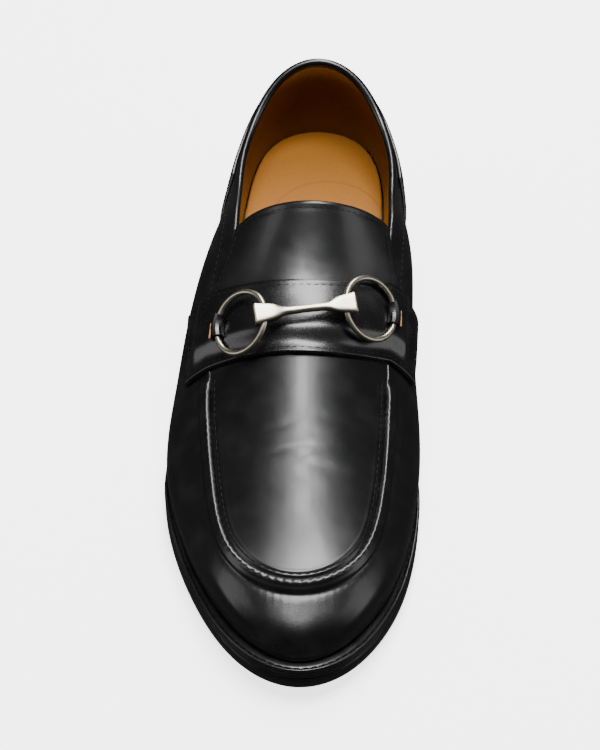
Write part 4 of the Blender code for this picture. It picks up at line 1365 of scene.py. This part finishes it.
# %% Rings and bar
def eye_place(label):
    """Where a ring's wire passes through the bar, turned in the ring's plane from straight inwards."""
    centre, radial, axis = ring_place(label)
    turn = EYE_TURNS[label]
    return centre - RING_RADIUS * (radial * math.cos(turn) - uphill(radial, axis) * math.sin(turn))


def bar_stations(span):
    """The bar's sections between eyes that are span apart: place along it, width, thickness, squareness."""
    tip = span / 2 + BAR_END_LENGTH / 2
    neck = span / 2 - BAR_END_LENGTH / 2
    half = [
        (0.0, BAR_WAIST, BAR_WAIST, 2.0),
        (0.45 * neck, 1.05 * BAR_WAIST, 1.02 * BAR_WAIST, 2.2),
        (0.8 * neck, 0.42 * BAR_END_WIDTH, 0.85 * BAR_END_THICKNESS, 3.0),
        (neck, 0.62 * BAR_END_WIDTH, 0.97 * BAR_END_THICKNESS, 4.5),
        (0.5 * (neck + tip), 0.83 * BAR_END_WIDTH, BAR_END_THICKNESS, 6.0),
        (tip, BAR_END_WIDTH, BAR_END_THICKNESS, 6.0),
    ]
    other = [(-x, width, thickness, square) for x, width, thickness, square in half[:0:-1]]
    return other + half


RING_STEPS = 144
BAR_ROUND = 0.0010
BAR_STEPS = 90            # sections between its rounded ends
BAR_END_STEPS = 8
BAR_SIDES = 56
BAR_CORNER = math.radians(50)
ring_turn = np.linspace(0, 2 * np.pi, RING_STEPS, endpoint=False)[:, None]


def ring_tube(name, label, radius):
    """A ring of the bit, or with a larger radius the bore that it needs."""
    centre, radial, axis = ring_place(label)
    out = np.cos(ring_turn) * radial + np.sin(ring_turn) * np.cross(axis, radial)
    up = np.broadcast_to(axis, out.shape)
    section = round_section(2 * radius, 2 * radius, 24)
    return tube(name, centre + out * RING_RADIUS, out, up, section, wrap=True)


eyes = []
bores = []
for label in ("lateral", "medial"):
    node = "ring_" + label
    dress(ring_tube(node + "_wire", label, WIRE_RADIUS), nickel, body=node, replaces=[node])
    bores.append(ring_tube("bore_" + label, label, WIRE_RADIUS + BORE_CLEARANCE))
    eyes.append(eye_place(label))

bar_along = unit(eyes[1] - eyes[0])
slope = np.array([0.0, math.cos(bit_pitch()), math.sin(bit_pitch())])
bar_wide = unit(slope - bar_along * (slope @ bar_along))
bar_deep = np.cross(bar_along, bar_wide)
stations = bar_stations(np.linalg.norm(eyes[1] - eyes[0]))
tip = stations[-1][0]
close_tip = tip - BAR_ROUND * (1 - np.sin(np.linspace(0, np.pi / 2, BAR_END_STEPS)))
between = np.linspace(-close_tip[0], close_tip[0], BAR_STEPS)[1:-1]
bar_x = np.concatenate([-close_tip[::-1], between, close_tip])
turn = 2 * np.pi * (np.arange(BAR_SIDES) + 0.5) / BAR_SIDES
wide, deep, square = (smooth(stations, column, bar_x)[:, None] for column in (1, 2, 3))
past = np.clip((np.abs(bar_x) - tip + BAR_ROUND) / BAR_ROUND, 0, 1)[:, None]
shrink = BAR_ROUND * (1 - np.sqrt(1 - past**2)) * 2
bulge = (np.abs(np.cos(turn))**square + np.abs(np.sin(turn))**square)**(-1 / square)
bar_points = (
    (eyes[0] + eyes[1]) / 2
    + bar_x[:, None, None] * bar_along
    + ((wide - shrink) / 2 * bulge * np.cos(turn))[..., None] * bar_wide
    + ((deep - shrink) / 2 * bulge * np.sin(turn))[..., None] * bar_deep
)
ends = [np.broadcast_to(bar_points[k].mean(0), bar_points[k].shape) for k in (0, -1)]
bar_points = np.concatenate([ends[0][None], bar_points, ends[1][None]])
bar = add_grid("bit_bar", bar_points, wrap=True, weld=WELD, closed=True)
for bore in bores:
    eye = bar.modifiers.new("eye", "BOOLEAN")
    eye.operation = "DIFFERENCE"
    eye.solver = "EXACT"
    eye.object = bore
cut_bar = bar.evaluated_get(bpy.context.evaluated_depsgraph_get())
bar.data = bpy.data.meshes.new_from_object(cut_bar)
bar.modifiers.clear()
bar.data.set_sharp_from_angle(angle=BAR_CORNER)
for bore in bores:
    bpy.data.objects.remove(bore)
dress(bar, nickel, replaces=["bar"])
print("Bar:", round(2 * tip * 1000, 1), "mm long, eyes cut:", len(eyes))

# %% [markdown]
# The tabs that hold the rings go through slots in the strap, whose cut edges
# show the tan inside of the leather. Seen from above only the outer edge of
# each slot shows, as a short tan line beside the tab's outer foot.

# %% Slot edges
SLOT_EDGE_WIDTH = 0.0008
SLOT_EDGE_HEIGHT = 0.0005
SLOT_EDGE_SHARE = 0.72    # of the slot's half length
SLOT_STEPS = 24
for label in ("lateral", "medial"):
    centre, radial, axis = ring_place(label)
    tangent = uphill(radial, axis)
    to_foot = RING_RADIUS * math.cos(TAB_TURN) + TAB_OUTER_FOOT
    foot = centre + radial * to_foot + tangent * RING_RADIUS * math.sin(TAB_TURN)
    face, off = strap_under(foot)
    slot_along = unit(tangent - off * (tangent @ off))
    slot_out = unit(radial - off * (radial @ off))
    half_long = SLOT_EDGE_SHARE * RING_RADIUS * math.sin(TAB_SWEEP)
    along_slot = np.linspace(-half_long, half_long, SLOT_STEPS)[:, None] * slot_along
    edge_path = face + along_slot + 3 * GAP * slot_out
    edge_side = np.broadcast_to(slot_out, edge_path.shape)
    edge_up = np.broadcast_to(off, edge_path.shape)
    edge_section = round_section(SLOT_EDGE_WIDTH, SLOT_EDGE_HEIGHT, 12)
    edge = tube("slot_edge_" + label, edge_path, edge_side, edge_up, edge_section, runs_out(SLOT_STEPS))
    dress(edge, raw_edge)
print("Slot edges are", round(2000 * half_long, 1), "mm long")
